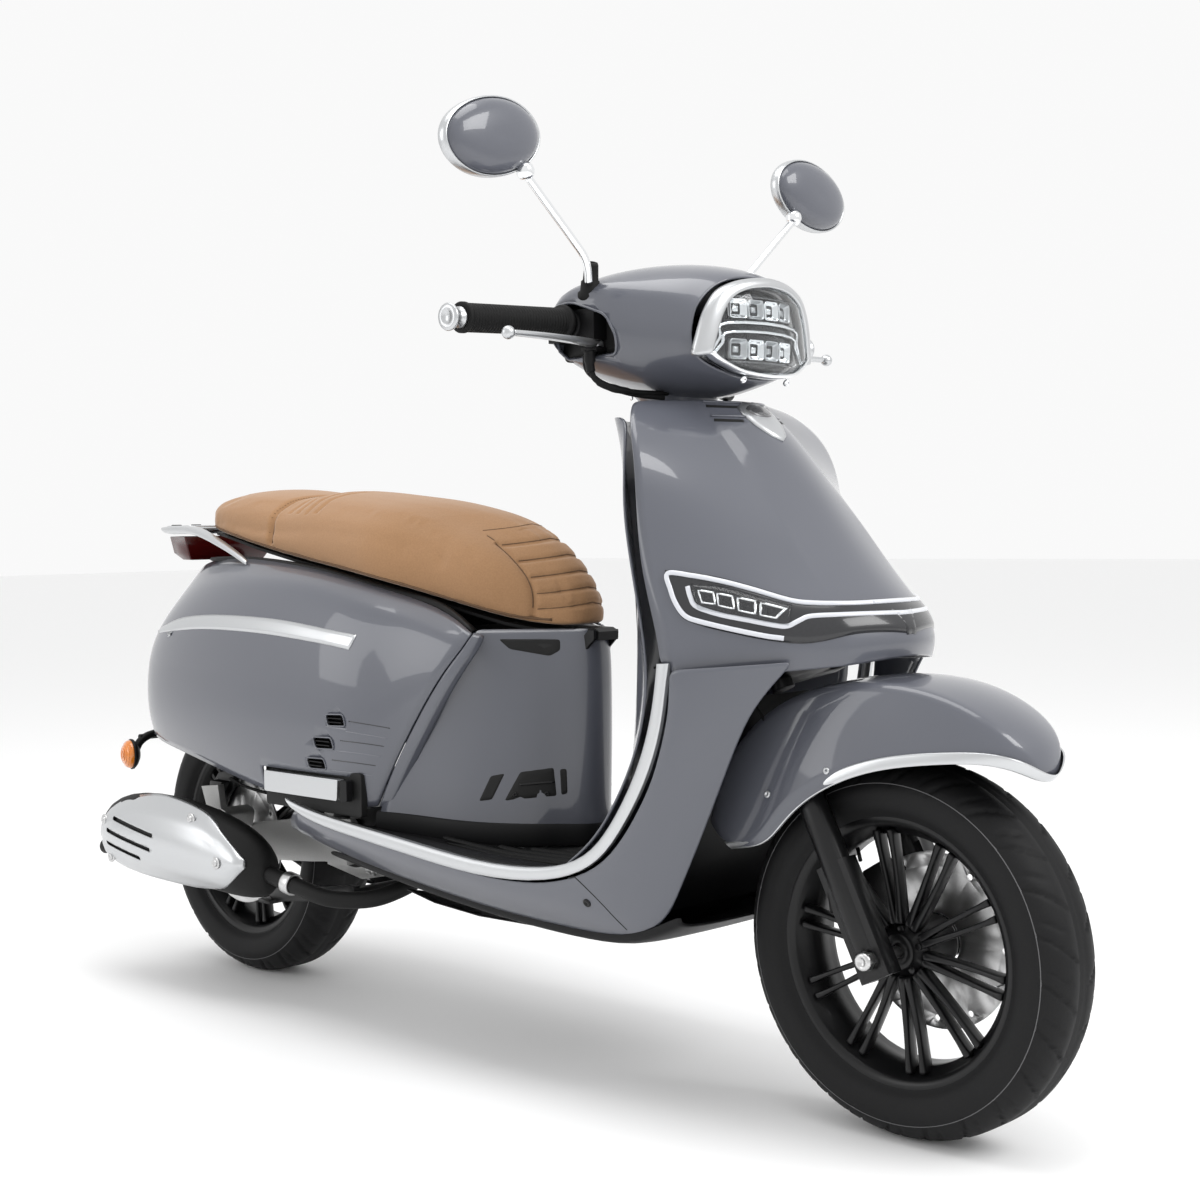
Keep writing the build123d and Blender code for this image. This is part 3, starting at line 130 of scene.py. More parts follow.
M = {
    "paint_grey": material("paint_grey", (0.088, 0.093, 0.113), 0.36, metal=0.0, coat=0.8, scale=2600, bump=0.05, dist=0.00004, tint=0.10, spread=0.04),
    # a lighter copy of the grey paint, used only as the painted highlight along the cowl's pressed channels
    "paint_light": material("paint_light", (0.13, 0.135, 0.158), 0.38, coat=0.8, scale=2600, bump=0.05, dist=0.00004, tint=0.08, spread=0.04),
    "satin_silver": material("satin_silver", (0.56, 0.57, 0.58), 0.30, metal=0.9, scale=1800, bump=0.05, dist=0.00005, tint=0.03, spread=0.05),
    "black_plastic": material("black_plastic", (0.006, 0.006, 0.0065), 0.46, spec=0.22, scale=1500, bump=0.35, dist=0.00012, tint=0.25),
    "rubber_black": material("rubber_black", (0.007, 0.007, 0.007), 0.62, spec=0.22, scale=700, bump=0.4, dist=0.0002, tint=0.25),
    "tyre_black": material("tyre_black", (0.0075, 0.0075, 0.008), 0.60, spec=0.25, scale=520, bump=0.35, dist=0.0002, tint=0.3, big=14),
    "seat_suede": material("seat_suede", (0.33, 0.185, 0.092), 0.80, scale=420, bump=0.45, dist=0.0004, tint=0.16, sheen=0.25, spec=0.25, big=11, spread=0.10),
    "stitch": material("stitch", (0.13, 0.072, 0.037), 0.8, scale=900, bump=0.4, dist=0.0002, tint=0.1),
    "chrome": material("chrome", (0.86, 0.87, 0.88), 0.07, metal=1.0, scale=1200, bump=0.03, dist=0.00003, tint=0.02, spread=0.03),
    "steel": material("steel", (0.60, 0.60, 0.60), 0.30, metal=1.0, scale=500, bump=0.2, dist=0.00006, tint=0.08, stretch=(1, 0.15, 1)),
    "cast_alloy": material("cast_alloy", (0.46, 0.46, 0.455), 0.45, metal=0.9, scale=520, bump=0.45, dist=0.0003, tint=0.12),
    "frame_black": material("frame_black", (0.005, 0.005, 0.0055), 0.36, spec=0.35, coat=0.08, scale=900, bump=0.15, dist=0.00008, tint=0.2),
    "rim_black": material("rim_black", (0.004, 0.004, 0.0045), 0.34, spec=0.35, coat=0.06, scale=1100, bump=0.15, dist=0.00008, tint=0.2),
    "exhaust_black": material("exhaust_black", (0.007, 0.007, 0.007), 0.55, spec=0.25, scale=650, bump=0.4, dist=0.0002, tint=0.25),
    "lamp_lens": material("lamp_lens", (0.93, 0.95, 0.96), 0.03, trans=1.0, ior=1.35, scale=60, bump=0.01, dist=0.00005, tint=0.01, spread=0.01),
    # dark plastic of the lamps and the instrument face; also the painted shade line in the cowl's pressed channels
    "lamp_dark": material("lamp_dark", (0.02, 0.0205, 0.023), 0.22, spec=0.4, coat=0.5, scale=300, bump=0.08, dist=0.0001, tint=0.15),
    "lamp_grey": material("lamp_grey", (0.12, 0.12, 0.125), 0.25, metal=0.7, coat=1.0, scale=300, bump=0.1, dist=0.0001, tint=0.15),
    "light_guide": material("light_guide", (0.50, 0.51, 0.54), 0.22, coat=1.0, scale=500, bump=0.06, dist=0.0001, tint=0.04, emit=(0.75, 0.78, 0.85)),
    "tail_lens": material("tail_lens", (0.055, 0.003, 0.003), 0.2, spec=0.3, coat=0.3, scale=700, bump=0.3, dist=0.0003, tint=0.15),
    "amber_lens": material("amber_lens", (0.72, 0.21, 0.015), 0.18, coat=1.0, scale=420, bump=0.35, dist=0.0004, tint=0.2),
    # black for panel joints and for the backs of real openings; also painted shade in flat patches that stand in for
    # slots, vents and recesses
    "gap_black": material("gap_black", (0.004, 0.004, 0.004), 0.7, scale=600, bump=0.2, dist=0.0001, tint=0.2),
    "mirror_glass": material("mirror_glass", (0.90, 0.91, 0.92), 0.02, metal=1.0, scale=200, bump=0.01, dist=0.00002, tint=0.01, spread=0.01),
    # lighter grey rubber, used only as a painted highlight on the tyres' shoulder ridges
    "moulding": material("moulding", (0.10, 0.10, 0.103), 0.6, scale=500, bump=0.2, dist=0.0001, tint=0.1),
}
SLOT_OF = {"paint_light": "paint_grey", "stitch": "seat_suede", "rim_black": "frame_black", "exhaust_black": "frame_black", "lamp_dark": "black_plastic",
           "lamp_grey": "satin_silver", "light_guide": "lamp_lens", "gap_black": "black_plastic", "mirror_glass": "chrome", "moulding": "tyre_black"}

for n, o in CAD.items():
    o.data.materials.clear()
    o.data.materials.append(M[SLOT[n]])
    o.data.polygons.foreach_set("use_smooth", [True] * len(o.data.polygons))


def cad_finish(n, width=0.8, mat=None, angle=35):
    """Softened edges and a finish on a CAD node that stays in view."""
    o = CAD[n]
    if mat:
        o.data.materials.clear()
        o.data.materials.append(M[mat])
    w = o.modifiers.new("weld", "WELD")
    w.merge_threshold = 0.00002
    b = o.modifiers.new("bevel", "BEVEL")
    b.width = width / 1000
    b.segments = 2
    b.limit_method = "ANGLE"
    b.angle_limit = math.radians(angle)
    b.harden_normals = True
    try:
        b.use_clamp_overlap = True
    except AttributeError:
        pass


# ------------------------------------------------------------------ mesh helpers, in millimetres
def bake(o):
    dg = bpy.context.evaluated_depsgraph_get()
    me = bpy.data.meshes.new_from_object(o.evaluated_get(dg))
    o.modifiers.clear()
    old = o.data
    o.data = me
    if old.users == 0:
        bpy.data.meshes.remove(old)
    return o


def piece(name, verts, faces, body, mat, replaces=(), sub=0, solid=0.0, offset=-1.0, bevel=0.0, creases=None, smooth=True, weld=False, angle=30, keep=False):
    me = bpy.data.meshes.new(name)
    me.from_pydata([tuple(c / 1000 for c in v) for v in verts], [], faces)
    me.update()
    o = bpy.data.objects.new(name, me)
    bpy.context.scene.collection.objects.link(o)
    me.materials.append(M[mat])
    bm = bmesh.new()
    bm.from_mesh(me)
    if weld:
        bmesh.ops.remove_doubles(bm, verts=bm.verts, dist=0.00002)
    bmesh.ops.recalc_face_normals(bm, faces=bm.faces)
    if creases:
        layer = bm.edges.layers.float.get("crease_edge") or bm.edges.layers.float.new("crease_edge")
        bm.verts.ensure_lookup_table()
        for (i, j), w in creases.items():
            e = bm.edges.get((bm.verts[i], bm.verts[j]))
            if e:
                e[layer] = w
    bm.to_mesh(me)
    bm.free()
    if sub:
        s = o.modifiers.new("sub", "SUBSURF")
        s.levels = s.render_levels = sub
    if solid:
        s = o.modifiers.new("solid", "SOLIDIFY")
        s.thickness = solid / 1000
        s.offset = offset
    if bevel:
        s = o.modifiers.new("bevel", "BEVEL")
        s.width = bevel / 1000
        s.segments = 3
        s.limit_method = "ANGLE"
        s.angle_limit = math.radians(angle)
        s.harden_normals = True
    o.data.polygons.foreach_set("use_smooth", [smooth] * len(o.data.polygons))
    if not keep:
        bake(o)
    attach(o, body)
    if replaces:
        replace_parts(o, *([replaces] if isinstance(replaces, str) else replaces))
    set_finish(o, SLOT_OF.get(mat, mat))
    return o


def grid_faces(m, n, wrap=False, base=0):
    F = []
    for i in range(m - 1):
        for j in range(n if wrap else n - 1):
            a, b = base + i * n + j, base + i * n + (j + 1) % n
            F.append((a, b, b + n, a + n))
    return F


def sheet(name, P, body, mat, creases_col=None, creases_row=None, **kw):
    """A smooth skin through a grid of points."""
    m, n = len(P), len(P[0])
    V = [p for r in P for p in r]
    cr = {}
    for c, w in (creases_col or {}).items():
        for i in range(m - 1):
            cr[(i * n + c, (i + 1) * n + c)] = w
    for r, w in (creases_row or {}).items():
        for j in range(n - 1):
            cr[(r * n + j, r * n + j + 1)] = w
    return piece(name, V, grid_faces(m, n), body, mat, creases=cr, **kw)


def loft(name, R, body, mat, cap=True, inset=0.6, **kw):
    """A closed smooth body through rings of points."""
    m, n = len(R), len(R[0])
    V = [p for r in R for p in r]
    F = grid_faces(m, n, wrap=True)
    if cap:
        for base, order in ((0, 1), ((m - 1) * n, -1)):
            c = [sum(V[base + j][k] for j in range(n)) / n for k in range(3)]
            start = len(V)
            for j in range(n):
                V.append([c[k] + (V[base + j][k] - c[k]) * inset for k in range(3)])
            V.append(c)
            for j in range(n):
                F.append((base + j, base + (j + 1) % n, start + (j + 1) % n, start + j))
                F.append((start + j, start + (j + 1) % n, start + n))
    return piece(name, V, F, body, mat, **kw)


def turned(name, profile, centre, body, mat, axis=(0, 1, 0), seg=96, close=True, **kw):
    """A body turned about an axis: profile is (radius, distance along the axis)."""
    a = Vector(axis).normalized()
    u = a.orthogonal().normalized()
    w = a.cross(u)
    c = Vector(centre)
    n = len(profile)
    V = []
    for i in range(seg):
        t = 2 * math.pi * i / seg
        d = u * math.cos(t) + w * math.sin(t)
        for r, h in profile:
            V.append(c + d * r + a * h)
    F = []
    for i in range(seg):
        j = (i + 1) % seg
        for k in range(n if close else n - 1):
            k2 = (k + 1) % n
            F.append((i * n + k, i * n + k2, j * n + k2, j * n + k))
    kw.setdefault("weld", True)
    return piece(name, [tuple(v) for v in V], F, body, mat, **kw)


def smooth_path(pts, k=8):
    P = [Vector(p) for p in pts]
    out = []
    for i in range(len(P) - 1):
        p0, p1, p2, p3 = P[max(i - 1, 0)], P[i], P[i + 1], P[min(i + 2, len(P) - 1)]
        for s in range(k):
            t = s / k
            out.append(0.5 * ((2 * p1) + (p2 - p0) * t + (2 * p0 - 5 * p1 + 4 * p2 - p3) * t * t + (3 * p1 - p0 - 3 * p2 + p3) * t ** 3))
    out.append(P[-1])
    return out


def tube(name, pts, r, body, mat, k=8, seg=16, radii=None, smooth_it=True, flat=1.0, **kw):
    """A round bar along a smooth path. radii gives its radius along the path."""
    path = smooth_path(pts, k) if smooth_it else [Vector(p) for p in pts]
    n = len(path)
    t0 = (path[1] - path[0]).normalized()
    u = t0.orthogonal().normalized()
    V, F = [], []
    for i, p in enumerate(path):
        t = (path[min(i + 1, n - 1)] - path[max(i - 1, 0)]).normalized()
        u = (u - t * u.dot(t)).normalized()
        w = t.cross(u)
        rr = r if radii is None else radii(i / (n - 1))
        for j in range(seg):
            a = 2 * math.pi * j / seg
            V.append(tuple(p + u * rr * math.cos(a) + w * rr * flat * math.sin(a)))
    F = grid_faces(n, seg, wrap=True)
    for base in (0, (n - 1) * seg):
        V.append(tuple(sum((Vector(V[base + j]) for j in range(seg)), Vector()) / seg))
        for j in range(seg):
            F.append((base + j, base + (j + 1) % seg, len(V) - 1))
    return piece(name, V, F, body, mat, **kw)


def prism(name, outline, axis, a, b, body, mat, bevel=1.0, **kw):
    """A plate with a flat outline, extruded along an axis, with rounded edges."""
    def at(p, h):
        return (h, p[0], p[1]) if axis == "x" else (p[0], h, p[1]) if axis == "y" else (p[0], p[1], h)
    n = len(outline)
    V = [at(p, a) for p in outline] + [at(p, b) for p in outline]
    F = [tuple(range(n)), tuple(range(2 * n - 1, n - 1, -1))] + [(i, (i + 1) % n, n + (i + 1) % n, n + i) for i in range(n)]
    return piece(name, V, F, body, mat, bevel=bevel, **kw)


def block(name, x0, x1, y0, y1, z0, z1, body, mat, bevel=1.5, **kw):
    return prism(name, [(x0, y0), (x1, y0), (x1, y1), (x0, y1)], "z", z0, z1, body, mat, bevel=bevel, **kw)


def screw(name, at, direction, r, body, mat="steel", h=3.0):
    """A round-headed screw with a round socket in its head."""
    prof = [(0.0, h * 0.35), (r * 0.42, h * 0.35), (r * 0.46, h), (r * 0.8, h * 0.92), (r, h * 0.45), (r, -1.0), (0.0, -1.0)]
    return turned(name, prof, at, body, mat, axis=direction, seg=18, close=False)


def mirrored(o, name, body, replaces=()):
    me = o.data.copy()
    q = bpy.data.objects.new(name, me)
    bpy.context.scene.collection.objects.link(q)
    me.transform(Matrix.Scale(-1, 4, (0, 1, 0)))
    me.flip_normals()
    me.update()
    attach(q, body)
    if replaces:
        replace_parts(q, *([replaces] if isinstance(replaces, str) else replaces))
    q["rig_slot"] = o["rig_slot"]
    return q


def join(name, objs):
    """Several parts of one piece become one object."""
    bm = bmesh.new()
    mats = []
    for o in objs:
        idx = []
        for mt in o.data.materials:
            if mt not in mats:
                mats.append(mt)
            idx.append(mats.index(mt))
        k = len(bm.faces)
        bm.from_mesh(o.data)
        bm.faces.ensure_lookup_table()
        for f in bm.faces[k:]:
            f.material_index = idx[min(f.material_index, len(idx) - 1)]
    me = bpy.data.meshes.new(name)
    bm.to_mesh(me)
    bm.free()
    for mt in mats:
        me.materials.append(mt)
    first = objs[0]
    first.data = me
    for o in objs[1:]:
        rep = list(o.get("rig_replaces", []))
        if rep:
            first["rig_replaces"] = sorted(set(list(first.get("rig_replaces", [])) + rep))
        bpy.data.objects.remove(o)
    first.name = name
    return first


def tree(o):
    bm = bmesh.new()
    bm.from_mesh(o.data)
    t = BVHTree.FromBMesh(bm)
    bm.free()
    return t


def cut(o, cutters):
    for c in cutters:
        b = o.modifiers.new("cut", "BOOLEAN")
        b.operation = "DIFFERENCE"
        b.solver = "EXACT"
        b.object = c
    bake(o)
    for c in cutters:
        bpy.data.objects.remove(c)
    return o


def cutter(outline, axis, a, b, bevel=0.0):
    def at(p, h):
        return (h, p[0], p[1]) if axis == "x" else (p[0], h, p[1]) if axis == "y" else (p[0], p[1], h)
    n = len(outline)
    V = [at(p, a) for p in outline] + [at(p, b) for p in outline]
    F = [tuple(range(n)), tuple(range(2 * n - 1, n - 1, -1))] + [(i, (i + 1) % n, n + (i + 1) % n, n + i) for i in range(n)]
    me = bpy.data.meshes.new("cutter")
    me.from_pydata([tuple(c / 1000 for c in v) for v in V], [], F)
    bm = bmesh.new()
    bm.from_mesh(me)
    bmesh.ops.recalc_face_normals(bm, faces=bm.faces)
    bm.to_mesh(me)
    bm.free()
    o = bpy.data.objects.new("cutter", me)
    bpy.context.scene.collection.objects.link(o)
    if bevel:
        s = o.modifiers.new("b", "BEVEL")
        s.width = bevel / 1000
        s.segments = 3
        bake(o)
    return o


def rounded(pts, r=3.0, k=4):
    """A flat outline with rounded corners."""
    out = []
    n = len(pts)
    for i in range(n):
        p, a, b = Vector(pts[i]), Vector(pts[i - 1]), Vector(pts[(i + 1) % n])
        da, db = (a - p), (b - p)
        rr = min(r, da.length * 0.45, db.length * 0.45)
        s, e = p + da.normalized() * rr, p + db.normalized() * rr
        for j in range(k + 1):
            t = j / k
            out.append(tuple(s * (1 - t) ** 2 + p * 2 * t * (1 - t) + e * t * t))
    return out


# the viewpoint that the measured outlines belong to
VA, VE, VR = math.radians(44.16), math.radians(2.24), math.radians(-0.85)
V_BACK = Vector((math.sin(VA) * math.cos(VE), -math.cos(VA) * math.cos(VE), math.sin(VE)))
V_POS = Vector((138.16, 0.0, 643.57)) + V_BACK * 2623.47
V_FWD = -V_BACK
_r = V_FWD.cross(Vector((0, 0, 1))).normalized()
_u = _r.cross(V_FWD)
V_RIGHT = _r * math.cos(VR) + _u * math.sin(VR)
V_UP = -_r * math.sin(VR) + _u * math.cos(VR)


def line(u, v):
    return V_POS, (V_FWD + V_RIGHT * ((u - 600) / 1863.57) - V_UP * ((v - 600) / 1863.57)).normalized()


def hit(t, u, v):
    """The point and outward normal where the measured direction (u, v) meets a surface."""
    o, d = line(u, v)
    co, no, _, _ = t.ray_cast(o / 1000, d)
    if co is None:
        q = o / 1000 + d * 2.4
        for _k in range(12):
            co, no, _, _ = t.find_nearest(q)
            q = o / 1000 + d * (co - o / 1000).dot(d)
        if (co - q).length > 0.04:
            return None
    if no.dot(d) > 0:
        no = -no
    return co * 1000, no


def along(t, pts, k=8):
    """Points on a surface along a measured path."""
    P = smooth_path([(u, v, 0) for u, v in pts], k)
    out = []
    for p in P:
        h = hit(t, p.x, p.y)
        if h:
            out.append(h)
    return out


def ribbon(name, hits, width, body, mat, lift=0.8, sink=1.6, crown=0.4, t=None, **kw):
    """A thin moulding of given width along points on a surface. width may be a function of 0..1."""
    n = len(hits)
    V = []
    for i, (p, no) in enumerate(hits):
        a, b = hits[max(i - 1, 0)][0], hits[min(i + 1, n - 1)][0]
        d = (b - a).normalized()
        s = no.cross(d).normalized()
        w = width(i / (n - 1)) if callable(width) else width
        row = []
        for k, h in ((-0.5, lift), (-0.42, lift + crown * 0.7), (0, lift + crown), (0.42, lift + crown * 0.7), (0.5, lift)):
            q = p + s * w * k
            if t is not None:
                co, nn, _, _ = t.find_nearest(q / 1000)
                if co is not None:
                    q = co * 1000
                    if nn.dot(no) < 0:
                        nn = -nn
                    q = q + nn * 0
            row.append(q + no * h)
        lowrow = [row[-1] - no * (lift + sink), row[0] - no * (lift + sink)]
        V += [tuple(x) for x in row + lowrow]
    F = grid_faces(n, 7, wrap=True)
    F += [tuple(range(7)), tuple(range((n - 1) * 7, n * 7))]
    return piece(name, V, F, body, mat, angle=50, **kw)


def patch(name, outline, t, body, mat, lift=0.8, sink=1.5, dome=0.0, steps=5, dense=6, edge=0.6, **kw):
    """A raised plate on a surface inside a measured outline."""
    P = []
    n0 = len(outline)
    for i in range(n0):
        a, b = Vector(outline[i]), Vector(outline[(i + 1) % n0])
        for k in range(dense):
            P.append(a + (b - a) * (k / dense))
    c = sum(P, Vector((0, 0))) / len(P)
    n = len(P)
    V = []
    rows = [(1.0, -sink), (1.0, lift * 0.4), (0.985, lift)] + [(1 - s / steps, lift + dome * (1 - (1 - s / steps) ** 2)) for s in range(1, steps)]
    ok = None
    for k, h in rows:
        for p in P:
            q = c + (p - c) * k
            r = hit(t, q.x, q.y) or ok
            ok = r
            V.append(tuple(r[0] + r[1] * h))
    r = hit(t, c.x, c.y) or ok
    V.append(tuple(r[0] + r[1] * (lift + dome)))
    F = grid_faces(len(rows), n, wrap=True)
    base = (len(rows) - 1) * n
    for j in range(n):
        F.append((base + j, base + (j + 1) % n, len(V) - 1))
    F.append(tuple(range(n)))
    return piece(name, V, F, body, mat, **kw)


def both(o, left_name, body):
    return mirrored(o, left_name, body)


# ------------------------------------------------------------------ front panel
SH = [
    (907, [(0, 406), (41, 395), (71, 379), (104, 359), (134, 340)]),
    (900, [(0, 424), (45, 408), (72, 386), (114, 372), (160, 352)]),
    (870, [(0, 458), (50, 442), (76, 420), (126, 402), (190, 380)]),
    (830, [(0, 494), (53, 477), (78, 457), (134, 430), (203, 398)]),
    (785, [(0, 531), (56, 511), (79, 498), (140, 455), (208, 404)]),
    (740, [(0, 564), (58, 546), (82, 537), (144, 484), (210, 408)]),
    (700, [(0, 598), (60, 580), (85, 567), (148, 510), (211, 414)]),
    (664, [(0, 634), (62, 613), (88, 597), (151, 538), (212, 424)]),
    (630, [(0, 664), (64, 646), (92, 628), (154, 566), (212, 434)]),
    (604, [(0, 674), (64, 656), (93, 638), (154, 571), (212, 443)]),
    (586, [(0, 666), (62, 648), (92, 631), (150, 564), (212, 446)]),
]


def droop(z, y):
    return z - (max(0.0, 612.0 - z) / 26.0) * 26.0 * (abs(y) / 211.0) ** 1.2 if z < 612 else z


P = []
for z, half in SH:
    P.append([(x, -y, droop(z, y)) for y, x in reversed(half)] + [(x, y, droop(z, y)) for y, x in half[1:]])
panel = sheet("leg_shield_panel", P, "root", "paint_grey", replaces="front_panel", sub=3, solid=3, creases_col={2: 0.75, 6: 0.75})
T_PANEL = tree(panel)

# dark light bar with two light guides round it
BAR_TOP = [(665, 570), (691, 572), (722, 578), (752, 586), (789, 597), (813, 600.5), (850, 600.5), (880, 599), (906, 597.5)]
BAR_LOW = [(675, 607), (684, 619), (705, 627), (735, 634), (765, 640), (797, 643.5), (822, 641.5), (856, 634), (890, 632), (916, 634)]


def panel_strip(name, top, low, mat, lift, k=8, rows=7, t=None, body="root", crown=0.0, **kw):
    """A raised strip on a surface between two measured edges."""
    t = t or T_PANEL
    A = smooth_path([(u, v, 0) for u, v in top], k)
    B = smooth_path([(u, v, 0) for u, v in low], k)
    n = max(len(A), len(B))
    def pick(Q, f):
        x = f * (len(Q) - 1)
        i = min(int(x), len(Q) - 2)
        return Q[i].lerp(Q[i + 1], x - i)
    V = []
    ok = None
    cols = []
    for i in range(n):
        f = i / (n - 1)
        a, b = pick(A, f), pick(B, f)
        col = []
        for j in range(rows):
            q = a.lerp(b, j / (rows - 1))
            r = hit(t, q.x, q.y) or ok
            ok = r
            e = 0.35 if j in (0, rows - 1) else 1.0
            col.append(r[0] + r[1] * (lift * e + crown * math.sin(math.pi * j / (rows - 1))))
        first, last = hit(t, a.x, a.y) or ok, hit(t, b.x, b.y) or ok
        col.append(last[0] - last[1] * 2.0)
        col.insert(0, first[0] - first[1] * 2.0)
        cols.append(col)
    nn = rows + 2
    V = [tuple(p) for c in cols for p in c]
    F = grid_faces(n, nn, wrap=True)
    F += [tuple(range(nn)), tuple(range((n - 1) * nn, n * nn))]
    return piece(name, V, F, body, mat, **kw)


lb = panel_strip("light_bar_body_right", BAR_TOP, BAR_LOW, "lamp_dark", 2.2, crown=1.2)
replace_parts(lb, "light_bar")
both(lb, "light_bar_body_left", "root")
g = along(T_PANEL, [(910, 601), (880, 603), (850, 604.5), (813, 604), (789, 601), (752, 590), (722, 582), (691, 576), (668, 574), (671, 590), (677, 605), (687, 617), (705, 623), (735, 630), (765, 636), (784, 638.5)], 6)
o = ribbon("light_guide_outer_right", g, 6.0, "root", "light_guide", lift=3.6, crown=1.2, sink=2)
both(o, "light_guide_outer_left", "root")
g = along(T_PANEL, [(688, 587), (691, 598), (697, 607), (720, 615), (750, 621), (776, 626), (788, 626.5), (800, 621), (812, 617), (850, 615.5), (910, 613.5)], 6)
o = ribbon("light_guide_inner_right", g, 6.0, "root", "light_guide", lift=3.6, crown=1.2, sink=2)
both(o, "light_guide_inner_left", "root")
# four small reflectors in the side part
quad = [((697, 590), (715, 593), (717, 606), (702, 604)), ((716, 593), (734, 597), (736, 611), (718, 607)), ((736, 597.5), (757, 602), (757, 616), (738, 612)), ((759, 602.5), (788, 610), (777, 620), (759, 616.5))]
rs = []
for i, q in enumerate(quad):
    a = patch(f"reflector_{i}", q, T_PANEL, "root", "chrome", lift=4.4, sink=2, dome=-2.6, dense=3, steps=4)
    c = (sum(p[0] for p in q) / 4, sum(p[1] for p in q) / 4)
    e = patch(f"reflector_led_{i}", [(c[0] - 3.0, c[1] - 2.4), (c[0] + 1.8, c[1] - 2.0), (c[0] + 1.8, c[1] + 2.6), (c[0] - 3, c[1] + 2.2)], T_PANEL, "root", "lamp_dark", lift=3.4, sink=1, dense=2, steps=3)
    rs += [a, e]
rs = join("indicator_reflectors_right", rs)
both(rs, "indicator_reflectors_left", "root")
# clear cover over the side part
o = panel_strip("light_bar_cover_right", [(691, 583), (722, 586), (752, 594), (792, 605)], [(700, 613), (735, 620), (765, 626), (788, 629)], "lamp_lens", 6.0, crown=0.6)
both(o, "light_bar_cover_left", "root")

# louvres beside the badge, each a flat dark strip of painted shade for the slot under a raised paint lip, and the
# badge itself
for i, (a, b) in enumerate((((706, 406), (741, 407.5)), ((714, 420), (744, 421)))):
    g = along(T_PANEL, [a, ((a[0] + b[0]) / 2, (a[1] + b[1]) / 2), b], 5)
    # flat dark strip of painted shade where the slot lies under the lip
    o = ribbon(f"front_louvre_{i}_right", g, 5.0, "root", "gap_black", lift=0.35, crown=0.0, sink=1)
    both(o, f"front_louvre_{i}_left", "root")
    g = along(T_PANEL, [(a[0] - 3, a[1] - 4), ((a[0] + b[0]) / 2, (a[1] + b[1]) / 2 - 4), (b[0], b[1] - 4)], 5)
    o = ribbon(f"front_louvre_lip_{i}_right", g, 3.2, "root", "paint_grey", lift=1.6, crown=0.8, sink=1)
    both(o, f"front_louvre_lip_{i}_left", "root")


def on_panel(y, z, lift):
    co, no, _, _ = T_PANEL.ray_cast(Vector((2.0, y / 1000, z / 1000)), Vector((-1, 0, 0)))
    if no.x < 0:
        no = -no
    return co * 1000 + no * lift


def badge(name, half, lift, mat, dome=0.0, inner=None):
    ring = [(y, z) for y, z in half] + [(-y, z) for y, z in reversed(half) if y > 0.01]
    c = (0.0, sum(z for _, z in ring) / len(ring))
    V, rows = [], [(1.0, -1.5), (1.0, lift * 0.5), (0.96, lift), (0.75, lift + dome * 0.5), (0.4, lift + dome * 0.9)]
    for k, h in rows:
        for y, z in ring:
            V.append(tuple(on_panel(c[0] + (y - c[0]) * k, c[1] + (z - c[1]) * k, h)))
    V.append(tuple(on_panel(c[0], c[1], lift + dome)))
    n = len(ring)
    F = grid_faces(len(rows), n, wrap=True) + [tuple(range(n))]
    F += [((len(rows) - 1) * n + j, (len(rows) - 1) * n + (j + 1) % n, len(V) - 1) for j in range(n)]
    return piece(name, V, F, "root", mat)


badge("shield_badge", [(0, 902), (14, 902), (27, 897), (30, 886), (26, 872), (14, 858), (0, 852)], 3.2, "satin_silver", dome=1.2)
badge("shield_badge_field", [(0, 897), (12, 897), (21, 893), (21, 886), (12, 882), (0, 881)], 5.2, "lamp_grey", dome=0.3)

# ------------------------------------------------------------------ rider-side leg shield
IL = [
    (885, 242, 246, 290, 324, 352, 166),
    (850, 256, 259, 298, 338, 368, 190),
    (772, 288, 290, 308, 346, 374, 202),
    (712, 297, 299, 314, 356, 388, 206),
    (652, 299, 301, 320, 370, 402, 208),
    (560, 300, 302, 316, 376, 422, 208),
    (470, 300, 302, 312, 362, 398, 206),
    (400, 296, 298, 304, 330, 356, 204),
    (352, 284, 286, 290, 300, 318, 202),
    (318, 264, 265, 266, 268, 272, 200),
    (304, 250, 250, 250, 250, 250, 200),
]
P = []
for z, x0, x1, x2, x3, xe, ye in IL:
    half = [(0, x0), (60, x1), (120, x2), (165, x3), (ye, xe)]
    P.append([(x, -y, z) for y, x in reversed(half)] + [(x, y, z) for y, x in half[1:]])
inner = sheet("inner_leg_shield_skin", P, "root", "paint_grey", replaces="inner_leg_shield", sub=2, solid=3, creases_col={2: 0.4, 6: 0.4})
T_IN = tree(inner)


def on_rear(y, z, lift):
    co, no, _, _ = T_IN.ray_cast(Vector((-0.2, y / 1000, z / 1000)), Vector((1, 0, 0)))
    if no.x > 0:
        no = -no
    return co * 1000 + no * lift, no


# glove box lid line, its latch and a bag hook on the rider's side
ring = rounded([(-112, 560), (112, 560), (118, 760), (84, 800), (-84, 800), (-118, 760)], 24, 5)
hits = [on_rear(y, z, 0) for y, z in ring + ring[:1]]
ribbon("glove_box_joint", hits, 3.0, "root", "gap_black", lift=0.3, crown=0.0, sink=1)
turned("glove_box_lock", [(0, 4.5), (9, 4.5), (11, 3), (11, -4), (0, -4)], tuple(on_rear(0, 782, 0)[0]), "root", "chrome", axis=(-1, 0, 0), seg=32, close=False)
tube("bag_hook", [(296, 0, 512), (276, 0, 506), (262, 0, 508), (258, 0, 520), (264, 0, 530)], 4.2, "root", "chrome", k=6)
